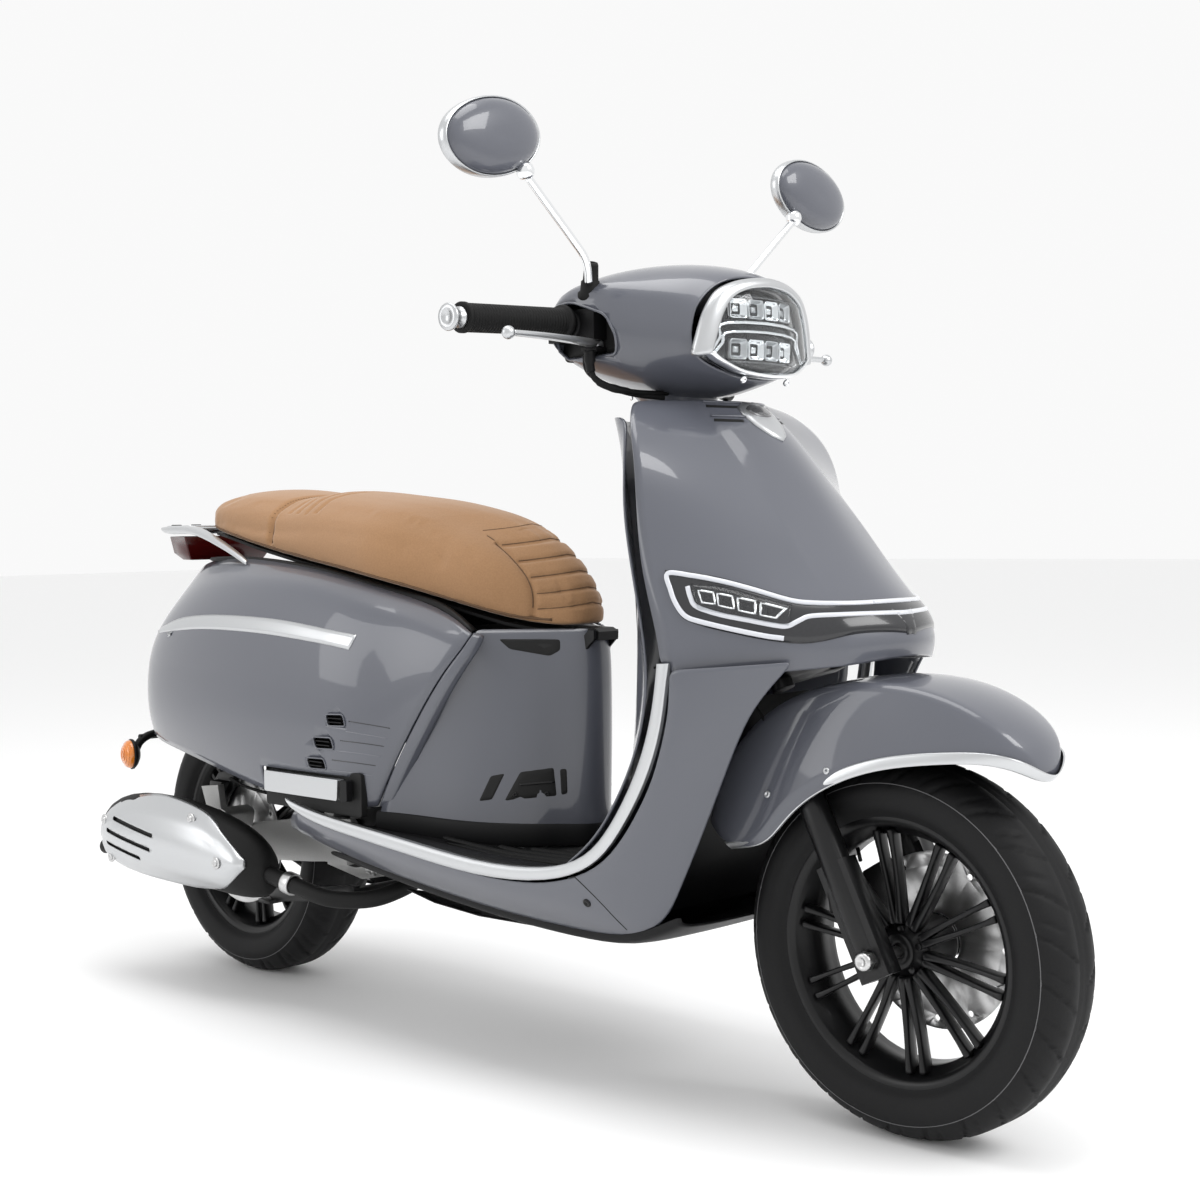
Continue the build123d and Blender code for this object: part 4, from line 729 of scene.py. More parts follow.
# ------------------------------------------------------------------ side skirts and silver trims
SK = [
    ((459, -212, 572), (592, -142, 582)),
    ((458, -212, 552), (578, -148, 566)),
    ((456, -211, 528), (560, -157, 544)),
    ((450, -211, 499), (538, -168, 510)),
    ((429, -211, 436), (502, -167, 437)),
    ((402, -211, 394), (464, -166, 360)),
    ((377, -211, 359), (430, -166, 296)),
    ((333, -211, 314), (404, -167, 246)),
    ((251, -211, 286), (345, -170, 219)),
    ((180, -211, 280), (244, -172, 220)),
    ((107, -211, 279), (110, -175, 225)),
    ((-60, -211, 296), (-101, -175, 246)),
    ((-240, -208, 312), (-264, -173, 269)),
    ((-306, -203, 330), (-362, -170, 290)),
]
P = []
for (x0, y0, z0), (x1, y1, z1) in SK:
    row = []
    for k, bulge in ((0, 0), (0.12, 2.2), (0.35, 4.0), (0.7, 3.6), (0.93, 0.8), (1, -2.0)):
        row.append((x0 + (x1 - x0) * k, y0 + (y1 - y0) * k ** 1.35 - bulge, z0 + (z1 - z0) * k))
    P.append(row)
skirt = sheet("side_skirt_right", P, "root", "paint_grey", replaces="side_skirts", sub=2, solid=3)
T_SKIRT = tree(skirt)
both(skirt, "side_skirt_left", "root")
TR = [(454, 580), (448, 548), (440, 499), (415, 434), (367, 363), (323, 318), (245, 290), (106, 281), (-61, 299), (-255, 316), (-306, 334)]
TRI = [(438, 579), (434, 546), (424, 499), (400, 438), (356, 371), (313, 327), (241, 303), (105, 297), (-62, 314), (-262, 330), (-322, 346)]
P = []
for (xo, zo), (xi, zi) in zip(TR, TRI):
    xo2, zo2 = xo + (xo - xi) * 0.25, zo + (zo - zi) * 0.25
    P.append([(xi, -205, zi), (xi, -212.6, zi), (xi + (xo2 - xi) * 0.18, -215.2, zi + (zo2 - zi) * 0.18), (xi + (xo2 - xi) * 0.82, -215.4, zi + (zo2 - zi) * 0.82), (xo2, -213.0, zo2), (xo2, -207, zo2)])
o = sheet("side_trim_right", P, "root", "satin_silver", replaces="side_trims", sub=2, creases_col={1: 0.5, 4: 0.5})
both(o, "side_trim_left", "root")
h = hit(T_SKIRT, 587, 903)
if h:
    o = screw("skirt_bolt_right", tuple(h[0]), tuple(h[1]), 6.0, "root", "frame_black", h=2.0)
    both(o, "skirt_bolt_left", "root")
g = along(T_SKIRT, [(566, 869), (582, 884), (600, 902), (614, 917), (627, 930)], 5)
if len(g) > 4:
    o = ribbon("skirt_joint_right", g, 1.6, "root", "gap_black", lift=0.2, crown=0, sink=1)
    both(o, "skirt_joint_left", "root")
# points along the joint between the panel and the skirt; nothing is built on them
g = along(T_PANEL, [(664, 678), (700, 686), (740, 692), (762, 694)], 5)
# black strip under the skirts and belly
P = []
for x, y, z in [(478, 150, 300), (430, 164, 256), (404, 167, 243), (345, 171, 217), (244, 173, 216), (110, 175, 222), (-101, 175, 243), (-264, 173, 266), (-362, 168, 288)]:
    P.append([(x, -y, z + 6), (x, -y - 1.5, z - 3), (x, -y + 8, z - 9), (x - 1, -y * 0.72, z - 14), (x - 2, 0, z - 16), (x - 1, y * 0.72, z - 14), (x, y - 8, z - 9), (x, y + 1.5, z - 3), (x, y, z + 6)])
belly = sheet("belly_strip", P[1:-1], "root", "black_plastic", sub=2, solid=2.5)
cad_finish("under_tray", 1.0)

# ------------------------------------------------------------------ pedestal under the seat
PEDX = [
    (303, [(145, 0), (142, 50), (125, 95), (82, 132), (20, 160), (-62, 182), (-132, 191)]),
    (352, [(147, 0), (144, 50), (127, 93), (84, 129), (20, 157), (-60, 179), (-128, 190)]),
    (420, [(150, 0), (147, 49), (129, 90), (84, 125), (22, 153), (-30, 175), (-72, 189)]),
    (510, [(153, 0), (149, 48), (129, 86), (86, 119), (40, 145), (10, 165), (-10, 183)]),
    (572, [(152, 0), (149, 47), (127, 80), (93, 111), (66, 133), (50, 149), (37, 169)]),
    (604, [(146, 0), (142, 44), (122, 72), (92, 100), (66, 120), (46, 138), (38, 152)]),
]
P = []
for z, half in PEDX:
    P.append([(x, -y, z) for x, y in reversed(half)] + [(x, y, z) for x, y in half[1:]])
ped = sheet("seat_pedestal_skin", P, "root", "paint_grey", replaces="seat_pedestal", sub=2, solid=3)
T_PED = tree(ped)
# black plinth round its foot
P = []
for dz, out in ((299, 1.5), (306, 3.2), (322, 3.4), (331, 1.2), (331.5, -3)):
    row = []
    for x, y in PEDX[0][1]:
        n = Vector((x + 40, y * 1.0)).normalized()
        row.append((x + n.x * out, y + n.y * out, dz + (x < 20) * (20 - x) * 0.055))
    P.append([(x, -y, z) for x, y, z in reversed(row)] + [(x, y, z) for x, y, z in row[1:]])
sheet("pedestal_plinth", P, "root", "black_plastic", sub=2)
# vents in the pedestal, drawn as flat dark patches of painted shade for the openings
for name, q in (("a", [(490, 780), (504, 777.5), (491, 804), (478, 805.5)]), ("b", [(520, 776), (554, 771.5), (557, 800), (504, 805)]), ("c", [(560.5, 772.6), (567.5, 772), (568.5, 797), (562, 799)])):
    pp = patch(f"pedestal_vent_{name}_right", rounded(q, 2.2, 2), T_PED, "root", "gap_black", lift=0.5, sink=1, dense=2, steps=3)
    both(pp, f"pedestal_vent_{name}_left", "root")
for name, a, b in (("bar", (519, 789), (555, 786)),):
    g = along(T_PED, [a, ((a[0] + b[0]) / 2, (a[1] + b[1]) / 2), b], 4)
    o = ribbon("pedestal_vent_bar_right", g, 3.0, "root", "frame_black", lift=1.2, crown=0.5, sink=0.5)
    both(o, "pedestal_vent_bar_left", "root")
for i, (u, v) in enumerate(((515, 799), (547, 798))):
    h = hit(T_PED, u, v)
    o = screw(f"pedestal_screw_{i}_right", tuple(h[0] + h[1] * 0.5), tuple(h[1]), 3.2, "root", "frame_black", h=2.0)
    both(o, f"pedestal_screw_{i}_left", "root")
# latch recess under the seat's nose, drawn as a flat dark patch of painted shade
q = [(498, 641), (561, 641), (561, 652), (550, 658), (509, 651)]
pp = patch("seat_latch_recess_right", rounded(q, 3, 3), T_PED, "root", "gap_black", lift=0.6, sink=1, dense=2, steps=3)
both(pp, "seat_latch_recess_left", "root")

# ------------------------------------------------------------------ side cowls
CW = [
    (-136, 190, 346, 600, 600, 168),
    (-200, 207, 342, 640, 664, 133),
    (-300, 215, 342, 666, 684, 133),
    (-420, 218, 356, 676, 698, 133),
    (-540, 213, 379, 672, 706, 130),
    (-640, 202, 393, 656, 702, 122),
    (-720, 186, 401, 632, 692, 110),
    (-780, 162, 410, 604, 676, 96),
    (-826, 124, 432, 576, 660, 72),
    (-850, 76, 456, 566, 648, 44),
    (-857, 10, 464, 562, 644, 12),
]
SEAM = [(-131, 192, 346), (-104, 195.5, 388), (-66, 197.5, 440), (-22, 195, 500), (14, 190, 546), (40, 179, 578), (44, 161, 600)]
MID = [(-160, 200, 343), (-140, 206, 392), (-112, 209, 450), (-80, 206, 514), (-52, 200, 566), (-34, 184, 612), (-30, 147, 634)]
P = [[(x - 2, -y + 5, z) for x, y, z in SEAM], [(x, -y, z) for x, y, z in SEAM], [(x, -y, z) for x, y, z in MID]]
for x, y, zb, zr, zt, yt in CW[1:]:
    row = []
    rear = max(0.0, (-x - 600.0) / 250.0)
    for ky, kz, pull in ((0.93, 0.0, 0.0), (0.985, 0.16, 0.0), (1.0, 0.38, 0.0), (0.985, 0.62, 4), (0.93, 0.84, 14)):
        row.append((x + pull * rear, -y * ky, zb + (zr - zb) * kz))
    row.append((x + 34 * rear, -max(y * 0.80, yt + 4), zr))
    row.append((x + 90 * rear, -yt, zt))
    P.append(row)
cowl = sheet("side_cowl_right", P, "root", "paint_grey", replaces="cowl_right", sub=2, solid=3, creases_col={5: 0.35, 0: 0.2}, creases_row={1: 0.9, 0: 1.0})
T_COWL = tree(cowl)
# recess for the folding footrest, and louvre slots
REC = rounded([(-384, 334), (-163, 334), (-163, 388), (-384, 390)], 5, 3)
SL = [rounded([(-224, 478), (-186, 479), (-180, 462), (-219, 461)], 5, 3), rounded([(-254, 443), (-213, 444), (-207, 427), (-248, 426)], 5, 3), rounded([(-271, 411), (-232, 412), (-227, 396), (-266, 395)], 5, 3)]
cut(cowl, [cutter(REC, "y", -260, -150)] + [cutter(s, "y", -260, -150) for s in SL])
cowl_l = mirrored(cowl, "side_cowl_left", "root", "cowl_left")
# inside of the footrest recess, and the louvres' backs with ribs
o = prism("footrest_recess_right", rounded([(-390, 330), (-158, 330), (-158, 394), (-390, 396)], 5, 3), "y", -197.5, -186, "root", "gap_black", bevel=1.0)
both(o, "footrest_recess_left", "root")
o = prism("louvre_back_right", [(-285, 388), (-165, 388), (-165, 486), (-285, 486)], "y", -198, -192, "root", "gap_black", bevel=1.0)
both(o, "louvre_back_left", "root")
SILVER_T = [(153, 634), (163, 626.5), (185, 617), (223, 614.8), (279, 619.5), (336, 631), (356, 635.3)]
SILVER_B = [(153, 634.8), (166, 631.8), (204, 629), (260.5, 633.4), (320.7, 643.5), (348, 650)]
o = panel_strip("cowl_strip_right", SILVER_T, SILVER_B, "satin_silver", 1.2, t=T_COWL, rows=5, crown=0.5)
both(o, "cowl_strip_left", "root")
# pressed channels running forward from the louvres: each is a dark line of painted shade (the dark lamp plastic) with
# a line of lighter paint just below it as a painted highlight
for i, (a, b, c) in enumerate((((348, 722), (366, 726), (388, 731)), ((340, 741), (360, 744.5), (382, 749)), ((332, 760), (352, 763.5), (374, 768)))):
    for j, (du, dv, w) in enumerate(((0, 0, 1.3), (-3, 10.0, 1.3))):
        g = along(T_COWL, [(a[0] + du, a[1] + dv), (b[0] + du, b[1] + dv), (c[0] + du, c[1] + dv)], 5)
        if len(g) > 4:
            # j == 0 is the painted shade line in the channel, j == 1 the painted highlight line in lighter paint
            o = ribbon(f"cowl_channel_{i}_{j}_right", g, w, "root", "lamp_dark" if j == 0 else "paint_light", lift=0.25, crown=0.2, sink=0.8)
            both(o, f"cowl_channel_{i}_{j}_left", "root")
    # louvre surround and two fine ribs in each slot
    s = SL[i]
    hits = []
    for x, z in s + s[:1]:
        co, no, _, _ = T_COWL.ray_cast(Vector((x / 1000, -0.4, z / 1000)), Vector((0, 1, 0)))
        if co is not None:
            hits.append((co * 1000, no if no.y < 0 else -no))
    o = ribbon(f"louvre_rim_{i}_right", hits, 2.2, "root", "paint_grey", lift=0.8, crown=0.7, sink=1)
    both(o, f"louvre_rim_{i}_left", "root")
    x0 = sum(p[0] for p in s) / len(s)
    z0 = sum(p[1] for p in s) / len(s)
    for j, dz in enumerate((-3.2, 2.6)):
        o = block(f"louvre_rib_{i}_{j}_right", x0 - 17, x0 + 15, -210, -198, z0 + dz - 0.8, z0 + dz + 0.8, "root", "black_plastic", bevel=0.4)
        both(o, f"louvre_rib_{i}_{j}_left", "root")
# points along the seam with the pedestal; nothing is built on them
g = along(T_COWL, [(456, 622), (457, 645), (436, 690), (411, 742), (383, 799)], 7)
# ------------------------------------------------------------------ seam band on the pedestal side
bandP = []
for (x, y, z), w in zip(SEAM, (26, 27, 27, 26, 24, 20, 14)):
    bandP.append([(x + 1.5, -(y - 7), z), (x + 2.5, -(y - 1.0), z), (x + w * 0.8, -(y - 6.0), z - 2), (x + w, -(y - 15), z - 3)])
o = sheet("pedestal_band_right", bandP, "root", "paint_grey", sub=2, solid=3, creases_col={1: 0.8, 2: 0.8})
both(o, "pedestal_band_left", "root")
# black strip under the seat along the cowl's top edge
P = []
for x, y, z in ((40, 156, 602), (-30, 141, 636), (-100, 134, 650), (-200, 131, 666), (-300, 131, 686), (-420, 131, 700), (-540, 128, 707), (-640, 120, 704)):
    P.append([(x, -y - 4, z - 6), (x, -y - 1, z + 1.5), (x, -y + 6, z + 3), (x, -y + 16, z - 4)])
o = sheet("under_seat_strip_right", P, "root", "black_plastic", sub=2, solid=2)
both(o, "under_seat_strip_left", "root")

# ------------------------------------------------------------------ footrests
for side, nm in ((-1, "right"), (1, "left")):
    y0, y1 = (-213.5, -200) if side < 0 else (200, 213.5)
    a = prism(f"footrest_{nm}_bar", rounded([(-373, 353), (-196, 353), (-193, 384), (-373, 384.5)], 3, 3), "y", y0, y1, f"footrest_arm_{nm}", "satin_silver", bevel=1.6, replaces=f"footrest_{nm}")
    b = prism(f"footrest_{nm}_pivot", rounded([(-191, 353), (-173, 353), (-173, 384), (-189, 384)], 3, 3), "y", y0 + 1, y1 - 1, f"footrest_arm_{nm}", "black_plastic", bevel=1.2)

# ------------------------------------------------------------------ floor: panel and ribbed mat
cad_finish("floor_panel", 1.0)
cad_finish("floor_mat", 0.8)


def mat_top(x):
    return 304.5 if x > 252 else (301 + 3.5 * (x - 100) / 152.0 if x > 100 else 301 + 8.5 * (100 - x) / 140.0)


ribs = []
for y in (-150, -128, -106, -84, -62, -40, -18, 4, 26, 48, 70, 92, 114, 136, 156):
    x0 = 154 if abs(y) < 90 else (134 - (abs(y) - 90) * 1.9 if abs(y) < 132 else -30)
    V, F = [], []
    xs = [x0 + (246 - x0) * k / 8 for k in range(9)]
    for x in xs:
        z = mat_top(x)
        V += [(x, y - 5.5, z - 0.5), (x, y - 4.2, z + 2.3), (x, y + 4.2, z + 2.3), (x, y + 5.5, z - 0.5)]
    ribs.append(sheet(f"mat_rib_{len(ribs)}", [V[i * 4:i * 4 + 4] for i in range(9)], "root", "rubber_black", sub=1))
join("floor_mat_ribs", ribs)
for s_ in (-1, 1):
    P = []
    for x in (-250, -180, -100, -20, 60, 140, 220, 262, 290):
        z = 300 if x > 100 else 300 + (100 - x) * 0.045
        z = z + (0 if x < 262 else (x - 262) * 0.5)
        P.append([(x, s_ * 174, z + 1), (x, s_ * 178, z + 4), (x, s_ * 203, z + 4), (x, s_ * 207, z + 0)])
    sheet(f"floor_edge_strip_{'right' if s_ < 0 else 'left'}", P, "root", "black_plastic", sub=2, solid=2)


# ------------------------------------------------------------------ handlebar cover
NAC = [
    (186, [(0, 1052), (46, 1050), (96, 1044), (132, 1034), (147, 1012), (140, 986), (92, 966), (44, 958), (0, 956)]),
    (206, [(0, 1073), (50, 1070), (102, 1064), (142, 1052), (155, 1018), (147, 980), (95, 952), (45, 942), (0, 940)]),
    (240, [(0, 1088), (52, 1086), (106, 1077), (148, 1060), (156, 1018), (146, 974), (96, 942), (46, 928), (0, 924)]),
    (290, [(0, 1094), (54, 1091), (102, 1080), (142, 1058), (152, 1012), (140, 966), (92, 934), (46, 918), (0, 914)]),
    (340, [(0, 1092), (52, 1088), (94, 1072), (122, 1047), (133, 1003), (122, 958), (84, 930), (44, 914), (0, 910)]),
    (385, [(0, 1084), (50, 1080), (88, 1064), (110, 1038), (119, 998), (110, 956), (74, 934), (38, 922), (0, 918)]),
    (418, [(0, 1074), (50, 1069), (84, 1054), (105, 1026), (114, 990), (108, 956), (70, 938), (34, 930), (0, 927)]),
    (428, [(0, 1066), (48, 1062), (80, 1048), (101, 1022), (110, 989), (104, 957), (66, 941), (32, 934), (0, 931)]),
]
R = []
for x, half in NAC:
    k = 1.0 if x < 400 else 0.0
    R.append([(x - 0.0016 * y * y * (1 - k), -y, z) for y, z in half] + [(x - 0.0016 * y * y * (1 - k), y, z) for y, z in reversed(half[1:-1])])
n = len(R[0])
V = [p for r in R for p in r]
F = grid_faces(len(R), n, wrap=True)
cr = {}
for i in range(len(R) - 1):
    for c in (3, n - 3):
        cr[(i * n + c, (i + 1) * n + c)] = 0.35
for j in range(n):
    cr[(7 * n + j, 7 * n + (j + 1) % n)] = 0.8
# rear face drawn in round the instrument
c = (205, 0, 1010)
for f, dx in ((0.86, 3), (0.80, 14), (0.4, 20)):
    base = len(V)
    prev = base - n if f != 0.86 else 0
    for j in range(n):
        V.append((c[0] - 22 + dx, c[1] + (R[0][j][1] - c[1]) * f, c[2] + (R[0][j][2] - c[2]) * f))
    for j in range(n):
        a, b = prev + j, prev + (j + 1) % n
        F.append((b, a, base + j, base + (j + 1) % n))
V.append((206, 0, 1010))
for j in range(n):
    F.append((base + (j + 1) % n, base + j, len(V) - 1))
nac = piece("handlebar_cover", V, F, "steering", "paint_grey", sub=2, creases=cr, replaces="nacelle")
T_NAC = tree(nac)
s_ = nac.modifiers.new("solid", "SOLIDIFY")
s_.thickness = 0.003
s_.offset = -1
bake(nac)
POCK = rounded([(196, 968), (302, 968), (309, 990), (296, 1020), (240, 1040), (196, 1036)], 12, 4)
cut(nac, [cutter(POCK, "y", -175, -112), cutter(POCK, "y", 112, 175)])
for s_, nm in ((-1, "right"), (1, "left")):
    V2 = []
    pk = rounded([(193, 965), (305, 965), (312, 990), (298, 1023), (241, 1043), (193, 1039)], 12, 4)
    R2 = [[(x, s_ * (118 - k * 3), z) for x, z in pk] for k in (0, 1)]
    loft(f"lever_pocket_{nm}", R2, "steering", "gap_black")
# cover edge lips at the pockets
for s_, nm in ((-1, "right"), (1, "left")):
    hits = []
    for x, z in POCK + POCK[:1]:
        co, no, _, _ = T_NAC.ray_cast(Vector((x / 1000, s_ * 0.4, z / 1000)), Vector((0, -s_, 0)))
        if co is not None:
            hits.append((co * 1000, no if no.y * s_ > 0 else -no))
    ribbon(f"pocket_lip_{nm}", hits, 3.2, "steering", "paint_grey", lift=0.3, crown=1.2, sink=2.4)
# neck below the cover
NK = [(899, 243, 346, 36), (905, 240, 350, 41), (917, 226, 350, 46), (935, 212, 352, 54), (952, 205, 352, 62)]
R = []
for z, x0, x1, hy in NK:
    cx, rx = (x0 + x1) / 2, (x1 - x0) / 2
    R.append([(cx + rx * math.cos(math.radians(a)), hy * math.sin(math.radians(a)), z) for a in range(0, 360, 20)])
loft("handlebar_neck", R, "steering", "paint_grey", sub=2)
for s_, nm in ((-1, "right"), (1, "left")):
    screw(f"neck_screw_{nm}", (236, s_ * 33, 921), (-0.6, s_ * 0.8, 0), 5.0, "steering", "chrome", h=2.6)
# instrument with a hood, on the rider's side
o = turned("instrument_bezel", [(46, 0), (50, 3), (52, 9), (49, 12), (45, 10), (43, 4), (0, 4), (0, 0)], (205, 0, 1012), "steering", "chrome", axis=(-1, 0, 0.25), seg=64, close=False, replaces="instrument")
turned("instrument_face", [(0, 5.2), (42, 5.2), (42, 4.2), (0, 4.2)], (205, 0, 1012), "steering", "lamp_dark", axis=(-1, 0, 0.25), seg=48, close=False)
turned("instrument_glass", [(0, 9.6), (30, 9.0), (45, 7.4), (45, 6.6), (0, 8.4)], (205, 0, 1012), "steering", "lamp_lens", axis=(-1, 0, 0.25), seg=48, close=False)
ax = Vector((-1, 0, 0.25)).normalized()
up_ = Vector((0.25, 0, 1)).normalized()
for k in range(11):
    a = math.radians(-120 + 24 * k)
    c = Vector((205, 0, 1012)) + ax * 5.6 + up_ * 35 * math.cos(a) + Vector((0, -35 * math.sin(a), 0))
    turned(f"dial_mark_{k}", [(0, 0.5), (1.6, 0.4), (1.7, -0.4), (0, -0.4)], tuple(c), "steering", "satin_silver", axis=tuple(ax), seg=10, close=False)
tube("dial_needle", [tuple(Vector((205, 0, 1012)) + ax * 6.8), tuple(Vector((205, 0, 1012)) + ax * 6.8 + up_ * 22 + Vector((0, 18, 0)))], 0.9, "steering", "tail_lens", smooth_it=False, seg=8)
cad_finish("handlebar", 0.6)
cad_finish("steering_stem", 0.8)

# ------------------------------------------------------------------ headlight
def fr(y, z, dx=0.0):
    return (446 - 0.0019 * y * y - 0.0009 * (z - 998) ** 2 + dx, y, z)


T_HEAD = None
hv = [fr(-130 + 260 * i / 40, 910 + 170 * j / 30) for i in range(41) for j in range(31)]
hm = bpy.data.meshes.new("tmp")
hm.from_pydata([tuple(c / 1000 for c in v) for v in hv], [], grid_faces(41, 31))
_bm = bmesh.new()
_bm.from_mesh(hm)
T_HEAD = BVHTree.FromBMesh(_bm)
_bm.free()


def closed_ring(half, k=5, r=7):
    ring = [(y, z) for y, z in half] + [(-y, z) for y, z in reversed(half) if y > 0.01]
    return rounded(ring, r, k)


OUT = [(0, 1064), (48, 1058), (84, 1044), (104, 1014), (117, 957), (60, 938), (0, 934)]
# the light field
ring = closed_ring([(0, 1052), (44, 1047), (72, 1035), (86, 1008), (100, 962), (92, 956), (52, 941), (0, 938)])
V = []
rows = [(1.0, -14), (1.0, -2), (0.97, 0), (0.7, 1), (0.4, 1), (0.15, 1)]
for k, h in rows:
    for y, z in ring:
        V.append(fr(y * k, 998 + (z - 998) * k, h - 12))
V.append(fr(0, 998, -11))
n = len(ring)
F = grid_faces(len(rows), n, wrap=True) + [tuple(range(n))] + [((len(rows) - 1) * n + j, (len(rows) - 1) * n + (j + 1) % n, len(V) - 1) for j in range(n)]
piece("headlight_field", V, F, "steering", "lamp_dark")
# the clear lens, domed
V = []
rows = [(1.0, -8), (1.0, 1), (0.96, 6), (0.85, 9), (0.65, 11), (0.4, 12.5), (0.2, 13)]
for k, h in rows:
    for y, z in ring:
        V.append(fr(y * k, 998 + (z - 998) * k, h))
V.append(fr(0, 998, 13))
F = grid_faces(len(rows), n, wrap=True) + [((len(rows) - 1) * n + j, (len(rows) - 1) * n + (j + 1) % n, len(V) - 1) for j in range(n)]
piece("headlight_lens", V, F, "steering", "lamp_lens", solid=1.6, replaces="headlight")


def band(name, outer, inner_, mat, lift, body="steering", round_=1.0):
    """A flat moulding between two open paths of (y, z) on the lamp's front."""
    A = smooth_path([(a, b, 0) for a, b in outer], 1)
    n = max(len(outer), len(inner_))
    V = []
    for (yo, zo), (yi, zi) in zip(outer, inner_):
        V += [fr(yo, zo, -10), fr(yo, zo, lift * 0.35), fr(yo + (yi - yo) * 0.12, zo + (zi - zo) * 0.12, lift), fr(yo + (yi - yo) * 0.88, zo + (zi - zo) * 0.88, lift + 2.0), fr(yi, zi, lift), fr(yi, zi, -8)]
    F = grid_faces(n, 6, wrap=True) + [tuple(range(6)), tuple(range((n - 1) * 6, n * 6))]
    return piece(name, V, F, body, mat, sub=1)


def densify(pts, k=4, r=10):
    out = []
    P = [Vector(p) for p in pts]
    for i in range(len(P) - 1):
        for j in range(k):
            out.append(tuple(P[i].lerp(P[i + 1], j / k)))
    out.append(tuple(P[-1]))
    # round the corners slightly
    for _ in range(2):
        out = [out[0]] + [((out[i - 1][0] + 2 * out[i][0] + out[i + 1][0]) / 4, (out[i - 1][1] + 2 * out[i][1] + out[i + 1][1]) / 4) for i in range(1, len(out) - 1)] + [out[-1]]
    return out


o_half = [(0, 1064), (48, 1058), (84, 1044), (105, 1012), (119, 956)]
i_half = [(0, 1050), (42, 1045), (68, 1033), (84, 1008), (97, 958)]
oo = densify([(-y, z) for y, z in reversed(o_half)] + o_half[1:])
ii = densify([(-y, z) for y, z in reversed(i_half)] + i_half[1:])
band("headlight_peak_bezel", oo, ii, "satin_silver", 9)
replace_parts(bpy.data.objects["headlight_peak_bezel"], "headlight_bezel")
o_l = [(100, 962), (88, 951), (54, 936), (0, 932)]
i_l = [(96, 966), (84, 956), (52, 942), (0, 938)]
oo = densify([(-y, z) for y, z in o_l] + [(y, z) for y, z in reversed(o_l[:-1])])
ii = densify([(-y, z) for y, z in i_l] + [(y, z) for y, z in reversed(i_l[:-1])])
band("headlight_lower_bezel", oo, ii, "chrome", 9)


def lamp_bar(name, pts, w, mat="chrome", lift=-4.0):
    P = smooth_path([(y, z, 0) for y, z in pts], 4)
    V = []
    for i, p in enumerate(P):
        a, b = P[max(i - 1, 0)], P[min(i + 1, len(P) - 1)]
        d = (b - a).normalized()
        s = Vector((-d.y, d.x, 0))
        for k, h in ((-0.5, 0), (-0.3, 2.2), (0.3, 2.2), (0.5, 0), (0.4, -4), (-0.4, -4)):
            q = p + s * w * k
            V.append(fr(q.x, q.y, lift + h))
    F = grid_faces(len(P), 6, wrap=True) + [tuple(range(6)), tuple(range((len(P) - 1) * 6, len(P) * 6))]
    return piece(name, V, F, "steering", mat)


lamp_bar("headlight_bar_upper", [(-92, 962), (-78, 983), (-66, 1002), (66, 1002), (78, 983), (92, 962)], 4.5)
lamp_bar("headlight_bar_lower", [(-90, 958), (-74, 976), (-60, 991), (60, 991), (74, 976), (90, 958)], 4.0)
mods = []
for row, (z0, z1, hw) in enumerate(((1009, 1034, 62), (957, 983, 62))):
    for k in range(4):
        y0 = -hw + k * hw / 2 + 1.5
        y1 = y0 + hw / 2 - 3
        sh = 6 * (1 if row == 0 else -1) * (k in (0, 3))
        q = rounded([(y0, z0), (y1, z0), (y1, z1), (y0, z1)], 4, 3)
        cy, cz = (y0 + y1) / 2, (z0 + z1) / 2
        V = []
        rws = [(1.0, -8), (1.0, 3), (0.93, 3.6), (0.86, 1), (0.62, -3), (0.34, -5), (0.30, -2.5), (0.2, -1.5)]
        for kk, h in rws:
            for y, z in q:
                V.append(fr(cy + (y - cy) * kk, cz + (z - cz) * kk, h - 8))
        V.append(fr(cy, cz, -9))
        n = len(q)
        F = grid_faces(len(rws), n, wrap=True) + [tuple(range(n))] + [((len(rws) - 1) * n + j, (len(rws) - 1) * n + (j + 1) % n, len(V) - 1) for j in range(n)]
        mods.append(piece(f"led_{row}_{k}", V, F, "steering", "satin_silver" if (k + row) % 2 else "chrome"))
    o = lamp_bar(f"headlight_shelf_{row}", [(-hw - 4, z1 + 3 if row == 0 else z0 - 3), (hw + 4, z1 + 3 if row == 0 else z0 - 3)], 3.0, "lamp_grey", -6)
join("headlight_modules", mods)
for s_, nm in ((-1, "right"), (1, "left")):
    c = fr(s_ * 44, 931, 2)
    screw(f"headlight_screw_{nm}", c, (0.8, 0, -0.6), 5.0, "steering", "chrome", h=3)

